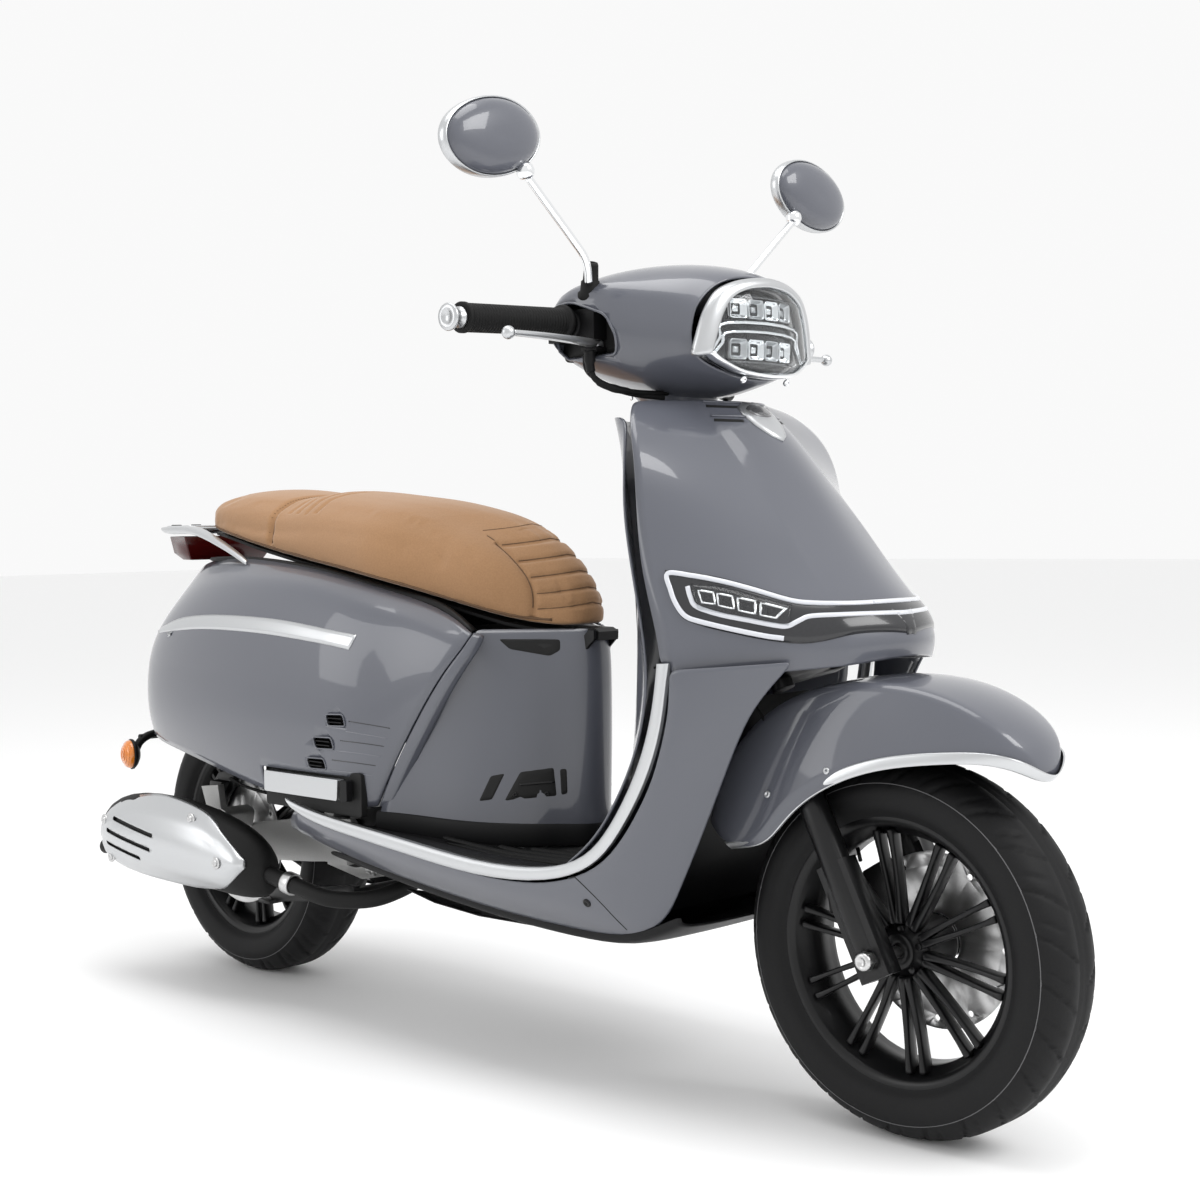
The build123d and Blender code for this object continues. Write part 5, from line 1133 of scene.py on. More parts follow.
# ------------------------------------------------------------------ grips, bar ends, levers, controls
A = Vector((230.0, -336.0, 1008.0))
B = Vector((226.0, -150.0, 1015.0))
axr = (A - B).normalized()
Lg = (A - B).length
prof = [(11.2, 0), (21.5, 0), (22.5, 2), (22.5, 6), (20.5, 8)]
x = 8.0
while x < Lg - 12:
    prof += [(17.6, x + 1.0), (18.3, x + 1.6), (18.3, x + 3.4), (17.6, x + 4.0)]
    x += 5.0
prof += [(17.4, Lg - 9), (19.6, Lg - 7), (19.6, Lg - 2), (17.6, Lg - 1), (11.2, Lg - 1)]
for s_, nm, bd, nd in ((-1, "right", "throttle", "throttle_grip"), (1, "left", "steering", "grip_left")):
    c = (B.x, s_ * abs(B.y), B.z)
    d = (axr.x, s_ * abs(axr.y), axr.z)
    turned(f"hand_grip_{nm}", prof, c, bd, "rubber_black", axis=d, seg=40, replaces=nd)
    turned(f"bar_end_{nm}", [(0, -2), (12.5, -2), (13.5, 0), (13.5, 2), (10.5, 5), (11.5, 10), (16.5, 16), (17.5, 19), (16.5, 21), (9, 22.5), (8, 20.5), (0, 20.5)], (A.x, s_ * abs(A.y), A.z), "steering", "satin_silver", axis=d, seg=48, close=False, **({"replaces": "bar_ends"} if s_ < 0 else {}))
    turned(f"switch_housing_{nm}", [(11.2, 0), (19, 0), (21, 2), (21, 16), (19, 18), (11.2, 18)], (c[0], s_ * 127, 1012.5), "steering", "black_plastic", axis=d, seg=40)
    # lever: a flattened tapering blade with a ball end
    pts = [(262, s_ * 122, 985), (270, s_ * 150, 985), (281, s_ * 185, 985), (290, s_ * 230, 985), (296, s_ * 275, 985), (298, s_ * 312, 985)]
    a = tube(f"brake_lever_{nm}_blade", pts, 7, f"brake_lever_{nm}", "satin_silver", k=6, seg=14, flat=0.62, radii=lambda t: 6.8 - 2.4 * t if t < 0.85 else 4.76 - (t - 0.85) * 2)
    b = turned(f"brake_lever_{nm}_ball", [(0, -8.5)] + [(8.5 * math.sin(math.radians(q)), -8.5 * math.cos(math.radians(q))) for q in range(15, 180, 15)] + [(0, 8.5)], (298, s_ * 318, 984.8), f"brake_lever_{nm}", "satin_silver", seg=24, close=False)
    c_ = turned(f"brake_lever_{nm}_eye", [(4.1, -4.2), (11, -4.2), (12, -3), (12, 3), (11, 4.2), (4.1, 4.2)], (258, s_ * 126, 985), f"brake_lever_{nm}", "satin_silver", axis=(0, 0, 1), seg=32)
    lv = join(f"brake_lever_{nm}", [a, b, c_])
    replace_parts(lv, f"lever_{nm}")
cad_finish("master_cylinders", 2.0)
for n_ in ("start_button", "horn_button"):
    cad_finish(n_, 1.2, "tail_lens" if n_ == "start_button" else "satin_silver")
cad_finish("brake_hoses", 0.2)
# sheathed cable bundle curving under the cover
for s_, nm in ((-1, "right"), (1, "left")):
    tube(f"cable_fitting_{nm}", [(262, s_ * 140, 976), (262, s_ * 140, 958), (263, s_ * 139, 948)], 7.0, "steering", "black_plastic", k=4, radii=lambda t: 7.5 if t < 0.5 else 6.0)
    tube(f"bar_cable_{nm}", [(263, s_ * 139, 952), (268, s_ * 136, 938), (280, s_ * 122, 928), (296, s_ * 100, 922), (310, s_ * 74, 920), (318, s_ * 52, 921)], 3.8, "steering", "rubber_black", k=6, radii=lambda t: 3.8 + (1.1 if 0.25 < t < 0.6 else 0) + (0.5 if 0.4 < t < 0.48 else 0))

# ------------------------------------------------------------------ mirrors
for s_, nm in ((-1, "right"), (1, "left")):
    cy, cz, cx = s_ * 316.0, 1226.0, 272.0
    t = math.radians(-s_ * 12)

    def oval(k, x, a0=79, b0=48):
        ring = []
        for a in range(0, 360, 12):
            c, q = math.cos(math.radians(a)), math.sin(math.radians(a))
            e = 1.0 + 0.05 * q * (c * s_)
            y, z = a0 * c * k * e, b0 * q * k
            ring.append((cx + x, cy + y * math.cos(t) - z * math.sin(t), cz + y * math.sin(t) + z * math.cos(t)))
        return ring
    head = loft(f"mirror_shell_{nm}", [oval(0.955, -6), oval(0.975, -2), oval(0.965, 4), oval(0.90, 11), oval(0.74, 17), oval(0.5, 20.5), oval(0.25, 22)], f"mirror_head_{nm}", "paint_grey", sub=1, inset=0.5, replaces=f"mirror_{nm}")
    # silver rim round the head
    V = []
    sec = [(1.005, -11), (1.035, -8), (1.035, 3), (1.0, 5.5), (0.965, 4.5), (0.93, -10.5)]
    R_ = [oval(k, x) for k, x in sec]
    n = len(R_[0])
    V = [p for r in R_ for p in r]
    F = grid_faces(len(R_), n, wrap=True) + [((len(R_) - 1) * n + j, (len(R_) - 1) * n + (j + 1) % n, (j + 1) % n, j) for j in range(n)]
    piece(f"mirror_rim_{nm}", V, F, f"mirror_head_{nm}", "satin_silver", sub=1)
    loft(f"mirror_glass_{nm}", [oval(0.945, -7.5), oval(0.95, -8.6), oval(0.94, -9.2)], f"mirror_head_{nm}", "mirror_glass", inset=0.4)
    sock = turned(f"mirror_socket_{nm}", [(0, 12), (7, 11), (11, 6), (12, 0), (10, -6), (8, -8.5), (0, -8.5)], (280, s_ * 267.6, 1188), f"mirror_head_{nm}", "chrome", axis=(0, s_ * 0.35, 0.94), seg=32, close=False)
    # stem
    a = tube(f"mirror_stem_{nm}_rod", [(280, s_ * 264, 1182), (279, s_ * 228, 1151), (278, s_ * 184, 1113), (277, s_ * 164, 1095), (275, s_ * 155, 1080), (272, s_ * 150, 1062)], 5.2, "steering", "chrome", k=8, seg=20)
    b = turned(f"mirror_boot_{nm}", [(5.0, 46), (8.2, 45), (9.2, 42), (10.2, 22), (12.5, 20), (13, 8), (16, 5), (16.5, 0), (14, -6), (5, -6)], (258, s_ * 134, 1046), "steering", "rubber_black", axis=(0.30, s_ * 0.22, 0.92), seg=32)
    c_ = turned(f"mirror_nut_{nm}", [(5, 0), (11.5, 0), (12, 1), (12, 8), (11.5, 9), (5, 9)], (256, s_ * 132, 1043), "steering", "chrome", axis=(0.30, s_ * 0.22, 0.92), seg=6)
    j_ = join(f"mirror_stem_{nm}", [a, b, c_])
    if s_ < 0:
        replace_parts(j_, "mirror_stems")

# ------------------------------------------------------------------ front fender
FX, WZ = 665.0, 229.4


def fpol(r, a, y):
    return (FX + r * math.cos(math.radians(a)), y, WZ + r * math.sin(math.radians(a)))


FEND = [
    (50, 292, (10, 292), (20, 288)),
    (54, 317, (38, 311), (53, 293)),
    (60, 328, (55, 320), (72, 281)),
    (68, 333, (64, 325), (82, 259)),
    (78, 336, (70, 328), (88, 240)),
    (90, 337, (75, 329), (96, 225)),
    (103, 337, (77, 329), (101, 212)),
    (116, 336, (79, 328), (104, 203)),
    (129, 330, (78, 322), (104, 195)),
    (141, 318, (76, 310), (102, 192)),
    (152, 302, (72, 294), (96, 236)),
]
P = []
for a, rc, (sy, sr), (ey, er) in FEND:
    wd = 3.5 if a > 95 else 0.0
    sy, ey = sy + wd, ey + wd
    half = [(0, rc), (sy * 0.55, rc - (rc - sr) * 0.30), (sy, sr + wd), (sy + (ey - sy) * 0.62, sr - (sr - er) * 0.38 + wd), (ey, er)]
    P.append([fpol(r, a, -y) for y, r in reversed(half)] + [fpol(r, a, y) for y, r in half[1:]])
fender = sheet("front_fender_skin", P, "steering", "paint_grey", replaces="front_fender", sub=2, solid=2.5, creases_col={2: 0.45, 6: 0.45})
T_FEND = tree(fender)
# silver edge trim on both sides, joined round the tip
P = []
for a, rc, (sy, sr), (ey, er) in FEND[::-1]:
    P.append((a, ey, er))
path = [(a, -y, r) for a, y, r in P] + [(49.0, 0, 289.0)] + [(a, y, r) for a, y, r in P[::-1]]
rows = []
for a, y, r in path:
    sg = 0 if abs(y) < 1 else (1 if y > 0 else -1)
    w = 14.0 if abs(y) > 60 else 9.0 + abs(y) * 0.08
    out = 2.4
    rows.append([fpol(r - 1.5, a, y - sg * 2), fpol(r - 1.5, a, y + sg * out), fpol(r + w * 0.15, a, y + sg * (out + 0.8)), fpol(r + w * 0.85, a, y + sg * (out - w * 0.10 + 0.6)), fpol(r + w, a, y + sg * (out - w * 0.16 - 0.4)), fpol(r + w, a, y - sg * 4)])
sheet("front_fender_trim", rows, "steering", "satin_silver", replaces="fender_trim", sub=2, creases_col={1: 0.6, 4: 0.6})
# black liner inside the fender
P = []
for a, rc, (sy, sr), (ey, er) in FEND[2:]:
    half = [(0, rc - 8), (sy - 6, sr - 8), (ey - 6, er + 12)]
    P.append([fpol(r, a, -y) for y, r in reversed(half)] + [fpol(r, a, y) for y, r in half[1:]])
liner = sheet("front_fender_liner", P, "steering", "black_plastic", sub=2, solid=1.5)
for s_ in (-1, 1):
    for a, y, r in ((128, 100, 235), (104, 98, 228)):
        screw(f"fender_bolt_{'r' if s_ < 0 else 'l'}_{a}", fpol(r, a, s_ * (y + 3.0)), (0, s_, 0.2), 4.5, "steering", "satin_silver", h=2.2)

# ------------------------------------------------------------------ wheels
TREAD_N, TREAD_M = 540, 47


def tyre(name, cx, half, rim_half, body, node):
    R = 229.4
    prof = [(156.8, rim_half - 8), (159.5, rim_half - 2.5), (166, rim_half + 0.5), (171, half - 5.5), (178, half - 2.4), (190, half), (200, half - 0.8), (208, half - 4.2), (215, half - 9), (221, half - 16), (225.5, half - 24), (228.2, half - 32), (229.2, 20), (229.4, 0)]
    S = smooth_path([(r, y, 0) for r, y in prof], 6)
    # even spacing along the section
    L = [0.0]
    for i in range(1, len(S)):
        L.append(L[-1] + (S[i] - S[i - 1]).length)
    half_n = TREAD_M // 2
    sec = []
    for k in range(half_n + 1):
        d = L[-1] * k / half_n
        i = max(j for j in range(len(L)) if L[j] <= d + 1e-9)
        i = min(i, len(S) - 2)
        f = (d - L[i]) / max(1e-6, L[i + 1] - L[i])
        sec.append((S[i].lerp(S[i + 1], f), L[-1] - d))
    full = [(p.x, p.y, s) for p, s in sec] + [(p.x, -p.y, -s) for p, s in reversed(sec[:-1])]
    V = []
    pitch = 2 * math.pi / 24
    for i in range(TREAD_N):
        t = 2 * math.pi * i / TREAD_N
        for r, y, s in full:
            a = abs(s)
            depth = 0.0
            if 5 < a < 66:
                side = 0.5 if s > 0 else 0.0
                # curved main groove that sweeps back towards the shoulder
                u = (t / pitch + side - 0.95 * (a / 62.0) ** 0.75) % 1.0
                d1 = min(u, 1 - u) * pitch * 229
                g = max(0.0, 1 - (d1 / 3.3) ** 2)
                if a > 12:
                    depth = max(depth, 3.2 * g ** 0.5 * min(1.0, (66 - a) / 10.0, (a - 12) / 5.0))
                # short secondary sipe
                u2 = (t / pitch + side + 0.5 - 0.8 * (a / 62.0) ** 0.8) % 1.0
                d2 = min(u2, 1 - u2) * pitch * 229
                g2 = max(0.0, 1 - (d2 / 2.6) ** 2)
                if 24 < a < 58:
                    depth = max(depth, 2.4 * g2 ** 0.5 * min(1.0, (58 - a) / 8.0, (a - 24) / 5.0))
            if abs(a - 4.5) < 1.9 and a < 8:
                depth = max(depth, 1.6)
            rr = r - depth * (1 if a < 45 else 0.6)
            yy = y - (depth * 0.75 if y > 0 else -depth * 0.75) * (1 if a > 45 else 0)
            # fine moulded rings on the side wall
            if 176 < r < 200 and a > 70:
                yy += (0.35 if y > 0 else -0.35) * math.cos(r * 1.6)
            V.append((cx + rr * math.cos(t), yy, WZ + rr * math.sin(t)))
    n = len(full)
    F = []
    for i in range(TREAD_N):
        j = (i + 1) % TREAD_N
        for k in range(n - 1):
            F.append((i * n + k, i * n + k + 1, j * n + k + 1, j * n + k))
    o = piece(name, V, F, body, "tyre_black", replaces=node)
    # thin ridge moulded on each shoulder, coloured lighter grey than the tyre as a painted highlight
    for s_ in (-1, 1):
        rr, yy = 205.5, half - 3.0
        turned(f"{name}_line_{'r' if s_ < 0 else 'l'}", [(rr - 0.5, s_ * (yy - 1.2)), (rr - 0.5, s_ * (yy + 0.55)), (rr + 0.5, s_ * (yy + 0.35)), (rr + 0.5, s_ * (yy - 1.5))], (cx, 0, WZ), body, "moulding", seg=120)
    return o


tyre("front_tyre_tread", 665.0, 56.0, 45.0, "front_wheel", "front_tyre")
tyre("rear_tyre_tread", -665.0, 59.0, 46.0, "rear_wheel", "rear_tyre")


def rim(name, cx, half, hub_r, y0, y1, dish, body, node, bore):
    h = half
    o = [turned(f"{name}_barrel", [(163.5, h + 1), (166.0, h), (166.0, h - 2.5), (158, h - 5.5), (156.3, h - 14), (147, h - 21), (147, -h + 21), (156.3, -h + 14), (158, -h + 5.5), (166.0, -h + 2.5), (166.0, -h), (163.5, -h - 1), (158.5, -h - 0.5), (152, -h + 4), (150.5, -h + 15), (141, -h + 22), (141, h - 22), (150.5, h - 15), (152, h - 4), (158.5, h + 0.5)], (cx, 0, WZ), body, "rim_black", seg=144)]
    # hub with a deep cup
    o.append(turned(f"{name}_hub", [(bore, y0), (hub_r * 0.62, y0), (hub_r * 0.66, y0 + 2), (hub_r * 0.66, y0 + 8), (hub_r * 0.92, y0 + 12), (hub_r * 1.04, y0 + 17), (hub_r * 1.06, y0 + 24), (hub_r * 0.98, 6), (hub_r * 0.94, y1 - 8), (hub_r, y1 - 3), (hub_r * 0.97, y1), (bore, y1)], (cx, 0, WZ), body, "rim_black", seg=72))
    d0, d1 = dish
    for k in range(20):
        a = math.radians(360.0 / 20 * k + (3.2 if k % 2 else -3.2))
        da = math.radians(2.6 if k % 2 else -2.6)
        c, s = math.cos(a), math.sin(a)
        c2, s2 = math.cos(a + da * 0.2), math.sin(a + da * 0.2)
        rws = []
        for f in (0.0, 0.12, 0.35, 0.6, 0.82, 0.94, 1.0):
            r = hub_r * 0.95 + (147.5 - hub_r * 0.95) * f
            w = 5.2 - 2.3 * f + (2.8 * max(0, f - 0.8) / 0.2) + 1.5 * max(0, 0.12 - f) / 0.12
            yf = d0 - 2 + 4.0 * math.sin(math.pi * f) - 2.5 * f
            yb = d1 - 4 * f + 4
            aa = a + da * (f - 0.3)
            c, s = math.cos(aa), math.sin(aa)
            ring = []
            for dy, dw in ((yf + 1.6, -w), (yf - 0.4, -w * 0.62), (yf - 0.4, w * 0.62), (yf + 1.6, w), (yb, w * 0.75), (yb, -w * 0.75)):
                ring.append((cx + r * c - dw * s, dy, WZ + r * s + dw * c))
            rws.append(ring)
        o.append(loft(f"{name}_blade_{k}", rws, body, "rim_black", sub=1, inset=0.5))
    # five hub bolts
    for k in range(5):
        a = math.radians(72 * k + 18)
        o.append(turned(f"{name}_bolt_{k}", [(0, 0), (4.6, 0), (4.6, 3.2), (3.6, 4), (0, 3.2)], (cx + hub_r * 0.78 * math.cos(a), y0 + 11, WZ + hub_r * 0.78 * math.sin(a)), body, "frame_black", axis=(0, -1, 0), seg=12, close=False))
    # inflation valve
    o.append(tube(f"{name}_valve", [(cx + 139 * math.cos(2.2), -4, WZ + 139 * math.sin(2.2)), (cx + 122 * math.cos(2.2), -12, WZ + 122 * math.sin(2.2))], 2.6, body, "rim_black", smooth_it=False, seg=10))
    q = join(f"{name}_wheel", o)
    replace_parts(q, node)
    return q


rim("front_rim", 665.0, 43.5, 34.0, -38.0, 44.0, (-32.0, -12.0), "front_wheel", "front_rim", 7.6)
rim("rear_rim", -665.0, 45.0, 38.0, -48.0, 50.0, (-32.0, -12.0), "rear_wheel", "rear_rim", 12.1)
for n_ in ("front_disc", "rear_disc"):
    cad_finish(n_, 0.4)

# ------------------------------------------------------------------ fork, axle, calipers
cad_finish("fork_lowers", 3.0)
for s_, nm in ((-1, "right"), (1, "left")):
    lo_, hi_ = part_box("fork_tubes")
    yc_ = s_ * (max(abs(lo_.y), abs(hi_.y)) * 1000 - 15.0)
    a_, b_ = st(590, 40.0, yc_), st(700, 40.0, yc_)
    tube(f"fork_stanchion_{nm}", [a_, b_], 14.0, "steering", "chrome", smooth_it=False, seg=28, **({"replaces": "fork_tubes"} if s_ < 0 else {}))
cad_finish("front_axle", 1.0)
cad_finish("front_caliper", 2.2)
cad_finish("rear_caliper", 2.2)
for s_ in (-1, 1):
    turned(f"axle_cap_{'r' if s_ < 0 else 'l'}", [(0, 3), (5, 3), (6, 6), (10, 5), (11.5, 2), (11.5, -2), (0, -2)], (665, s_ * 105, 229.4), "fork_lower", "steel", axis=(0, s_, 0), seg=24, close=False)
for s_, nm in ((-1, "front"),):
    for k, (x, z) in enumerate(((575, 300), (600, 250))):
        screw(f"front_caliper_bolt_{k}", (x, 66, z), (0, 1, 0), 5.0, "fork_lower", "steel", h=3)
tube("speed_sensor_lead", [st(470, 10, -80), st(540, 26, -84), st(620, 30, -88), st(690, 28, -90), st(745, 16, -92)], 2.0, "fork_lower", "rubber_black", k=6, seg=10)

# ------------------------------------------------------------------ seat
SEAT = [
    (-704, 52, 756, 780, 794, 8), (-686, 88, 750, 778, 806, 13), (-650, 110, 745, 776, 814, 15), (-600, 120, 736, 772, 818, 16), (-540, 125, 724, 766, 819, 17),
    (-480, 128, 713, 758, 812, 17), (-440, 131, 706, 752, 803, 18), (-405, 134, 701, 748, 812, 20), (-360, 138, 694, 744, 812, 22), (-300, 142, 685, 738, 806, 24),
    (-240, 145, 676, 730, 800, 26), (-180, 147, 665, 722, 794, 27), (-120, 146, 654, 712, 786, 28), (-60, 143, 641, 700, 776, 30), (0, 135, 628, 688, 762, 31),
    (45, 122, 617, 672, 744, 32), (85, 102, 609, 656, 716, 31), (115, 80, 606, 642, 686, 24), (134, 56, 608, 630, 656, 14),
]
R = []
for x, w, zb, zm, zt, dr in SEAT:
    half = [(0, zt - 5), (w * 0.42, zt - 5 - dr * 0.18), (w * 0.76, zt - 5 - dr * 0.8), (w * 0.94, zm + (zt - zm) * 0.42), (w * 0.985, zm), (w * 0.965, zb + 16), (w * 0.93, zb + 2), (w * 0.5, zb + 2)]
    R.append([(x, y, z) for y, z in half] + [(x, 0, zb + 2)] + [(x, -y, z) for y, z in reversed(half[1:])])
seat = loft("seat_cushion_cover", R, "seat", "seat_suede", sub=1, inset=0.55, replaces="seat_cushion")
rm = seat.modifiers.new("remesh", "REMESH")
rm.mode = "VOXEL"
rm.voxel_size = 0.0062
rm.use_smooth_shade = True
bake(seat)
start = [v.co.copy() for v in seat.data.vertices]
vg = seat.vertex_groups.new(name="pin")
pins = []
for v in seat.data.vertices:
    c = v.co * 1000
    near = min(SEAT, key=lambda q: abs(q[0] - c.x))
    if c.z < near[2] + 9:
        pins.append(v.index)
vg.add(pins, 1.0, "REPLACE")
cl = seat.modifiers.new("cloth", "CLOTH")
cl.settings.quality = 6
cl.settings.mass = 0.35
cl.settings.tension_stiffness = 14
cl.settings.compression_stiffness = 12
cl.settings.shear_stiffness = 6
cl.settings.bending_stiffness = 1.2
cl.settings.use_pressure = True
cl.settings.uniform_pressure_force = 3.0
cl.settings.vertex_group_mass = "pin"
cl.settings.effector_weights.gravity = 0.0
cl.collision_settings.use_collision = False
scn = bpy.context.scene
scn.frame_start, scn.frame_end = 1, 20
cl.point_cache.frame_start, cl.point_cache.frame_end = 1, 20
for f in range(1, 21):
    scn.frame_set(f)
bake(seat)
scn.frame_set(1)
cap = 0.004
for v, s0 in zip(seat.data.vertices, start):
    d = v.co - s0
    if d.length > cap:
        v.co = s0 + d * (cap / d.length)
seat.vertex_groups.clear()
# sewn lines: pressed into the cover
SB = [(x, w, zt) for x, w, zb, zm, zt, dr in SEAT]


def seat_dip(c):
    """How far the cover is drawn in at a point, in millimetres."""
    x, y, z = c
    near = min(SEAT, key=lambda q: abs(q[0] - x))
    top = near[4]
    d = 0.0
    # cross seam between rider and passenger parts
    u = x + 446 + 0.18 * abs(y)
    if z > near[2] + 14:
        d = max(d, 7.0 * math.exp(-(u / 6.0) ** 2))
    # channels across the passenger step and the nose
    w = near[1]
    if z > near[3] - 6:
        for k in range(4):
            xx = -418 + 24 * k
            if abs(y) < w * 0.86:
                d = max(d, 3.6 * math.exp(-((x - xx + 0.10 * abs(y)) / 3.6) ** 2))
    # panel seams along the shoulders
    return d


def nose_dip(c):
    x, y, z = c
    d = 0.0
    if x > 20:
        for zz in (640, 662, 685, 708, 731, 752):
            zq = zz - 0.10 * abs(y)
            e = z - zq
            lim = 1.0 if abs(y) < 88 else 0.0
            d = max(d, 4.0 * lim * math.exp(-(e / 3.4) ** 2))
        # the curved seams that bound the quilted nose
        e = abs(y) - (90 - 0.02 * abs(700 - z))
        d = max(d, 4.2 * math.exp(-(e / 3.4) ** 2))
    return d


sd = seat.modifiers.new("sub", "SUBSURF")
sd.levels = sd.render_levels = 1
bake(seat)
seat.data.polygons.foreach_set("use_smooth", [True] * len(seat.data.polygons))
vn = [v.normal.copy() for v in seat.data.vertices]
for v, nrm in zip(seat.data.vertices, vn):
    c = v.co * 1000
    near = min(SEAT, key=lambda q: abs(q[0] - c.x))
    if c.z > near[2] + 8:
        dd = max(seat_dip(c), nose_dip(c))
        if dd > 0.05:
            v.co -= nrm * (dd / 1000)
seat.data.update()
T_SEAT = tree(seat)
# piping along the lower edge and stitches beside the cross seam
for s_, nm in ((-1, "right"), (1, "left")):
    pts = []
    for x, w, zb, zm, zt, dr in SEAT:
        co_, no_, _, _ = T_SEAT.ray_cast(Vector((x / 1000, s_ * 0.4, (zb + 11) / 1000)), Vector((0, -s_, 0)))
        if co_ is not None:
            pts.append(tuple(co_ * 1000 + Vector((0, s_ * 0.2, 0))))
    tube(f"seat_piping_{nm}", pts, 2.0, "seat", "stitch", k=4, seg=8)
bm = bmesh.new()
for off in (-6.5, 6.5):
    for k in range(-26, 27):
        y = k * 4.6
        x = -446 - 0.18 * abs(y) + off
        co_, no_, _, _ = T_SEAT.ray_cast(Vector((x / 1000, y / 1000, 1.0)), Vector((0, 0, -1)))
        if co_ is None:
            continue
        mtx = Matrix.Translation(co_ + no_ * 0.0002) @ no_.to_track_quat("Z", "X").to_matrix().to_4x4() @ Matrix.Diagonal((0.00045, 0.0015, 0.0004, 1))
        bmesh.ops.create_icosphere(bm, subdivisions=1, radius=1.0, matrix=mtx)
me = bpy.data.meshes.new("seat_stitches")
bm.to_mesh(me)
bm.free()
me.materials.append(M["stitch"])
so = bpy.data.objects.new("seat_stitches", me)
bpy.context.scene.collection.objects.link(so)
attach(so, "seat")
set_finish(so, "seat_suede")

# stitched lines that lie in the channels
def seat_line(name, starts, direction, r=0.9):
    pts = []
    for p in starts:
        co_, no_, _, _ = T_SEAT.ray_cast(Vector(p) / 1000, Vector(direction))
        if co_ is not None:
            pts.append(tuple(co_ * 1000 - no_ * 0.15))
    if len(pts) > 3:
        tube(name, pts, r, "seat", "stitch", k=2, seg=6)


for k, zz in enumerate((640, 662, 685, 708, 731, 752)):
    seat_line(f"seat_line_nose_{k}", [(400, y, zz - 0.10 * abs(y)) for y in range(-84, 85, 6)], (-1, 0, 0))
for k in range(4):
    seat_line(f"seat_line_step_{k}", [(-418 + 24 * k - 0.10 * abs(y), y, 1000) for y in range(-108, 109, 6)], (0, 0, -1))
seat_line("seat_line_cross", [(-446 - 0.18 * abs(y), y, 1000) for y in range(-120, 121, 6)], (0, 0, -1), r=1.2)
for s_, nm in ((-1, "right"), (1, "left")):
    seat_line(f"seat_line_side_{nm}", [(400, s_ * 88.5, z) for z in range(634, 742, 6)], (-1, 0, 0), r=1.1)

# ------------------------------------------------------------------ grab rail, tail lamp, mudguard, signals
def railz(x):
    return 700 + 58 * min(1.0, max(0.0, (-505 - x) / 165.0)) ** 0.8


RO = [(-505, 146), (-545, 147), (-610, 142), (-680, 134), (-745, 124), (-790, 115), (-828, 100), (-846, 74), (-852, 38), (-853, 0)]
RI = [(-508, 138), (-548, 132), (-612, 124), (-672, 114), (-712, 104), (-735, 92), (-744, 76), (-747, 56), (-748, 30), (-748, 0)]
rows = []
for (xo, yo), (xi, yi) in list(zip(RO, RI)) + [((a, -b), (c, -d)) for (a, b), (c, d) in list(zip(RO, RI))[:-1][::-1]]:
    zo, zi = railz(xo), railz(xi)
    t0 = 15 if xo < -700 else 9 + 6 * (-505 - xo) / 195.0
    rows.append([(xo, yo, zo - 3), (xo + (xi - xo) * 0.1, yo + (yi - yo) * 0.1, zo + 0.5), (xi + (xo - xi) * 0.1, yi + (yo - yi) * 0.1, zi + 0.5), (xi, yi, zi - 2.5), (xi + (xo - xi) * 0.08, yi + (yo - yi) * 0.08, zi - t0 * 0.8), (xo + (xi - xo) * 0.16, yo + (yi - yo) * 0.16, zo - t0)])
loft("grab_rail_loop", rows, "root", "satin_silver", sub=2, inset=0.5, replaces="grab_rail")
prism("grab_rail_pad", rounded([(-846, -74), (-754, -86), (-754, 86), (-846, 74)], 14, 4), "z", 752, 759.5, "root", "satin_silver", bevel=2.0)
for s_ in (-1, 1):
    for x in (-830, -770):
        turned(f"rack_bush_{'r' if s_ < 0 else 'l'}_{abs(x)}", [(3.4, 0), (8, 0), (9, 1), (8, 2), (3.4, 2)], (x, s_ * 60, 759), "root", "black_plastic", axis=(0, 0, 1), seg=24)
cad_finish("tail_light", 3.0)
for k in range(-3, 4):
    block(f"tail_light_rib_{k + 3}", -839.5, -836, k * 18 - 6, k * 18 + 6, 716, 736, "root", "lamp_grey", bevel=0.8)
P = []
for x, z in [(-424, 405), (-436, 458), (-480, 512), (-550, 538), (-640, 545), (-728, 532), (-792, 504), (-838, 464), (-881, 414)]:
    P.append([(x, -77, z - 18), (x, -74, z - 8), (x, -60, z - 1), (x, 0, z + 1), (x, 60, z - 1), (x, 74, z - 8), (x, 77, z - 18)])
sheet("rear_mudguard_skin", P, "root", "black_plastic", sub=2, solid=2.5)
cad_finish("rear_mudguard", 1.5)
for s_, nm in ((-1, "right"), (1, "left")):
    d = (-0.25, s_ * 0.97, 0)
    c = (-870, s_ * 130, 364)
    a = turned(f"turn_signal_lens_{nm}", [(0, 22), (9, 21), (17, 18.2), (22.5, 14.5), (24.5, 10), (24.6, 5), (23, 2), (0, 2)], c, "root", "amber_lens", axis=d, seg=48, close=False, **({"replaces": "turn_signals"} if s_ < 0 else {}))
    turned(f"turn_signal_cup_{nm}", [(0, -8), (12, -7), (21, -2), (26, 3), (26.5, 6), (25.2, 8), (24.6, 5), (0, 2)], c, "root", "black_plastic", axis=d, seg=48, close=False)
    for k in range(4):
        turned(f"turn_signal_ring_{nm}_{k}", [(4 + 5 * k, 0), (5.2 + 5 * k, 0.8), (6.4 + 5 * k, 0)], tuple(Vector(c) + Vector(d) * (21.6 - 0.55 * k * k - 0.4 * k)), "root", "amber_lens", axis=d, seg=36)
    tube(f"turn_signal_stalk_{nm}", [(-868, s_ * 70, 398), (-870, s_ * 100, 394), (-871, s_ * 118, 384), (-869, s_ * 128, 370)], 7.0, "root", "black_plastic", k=6)

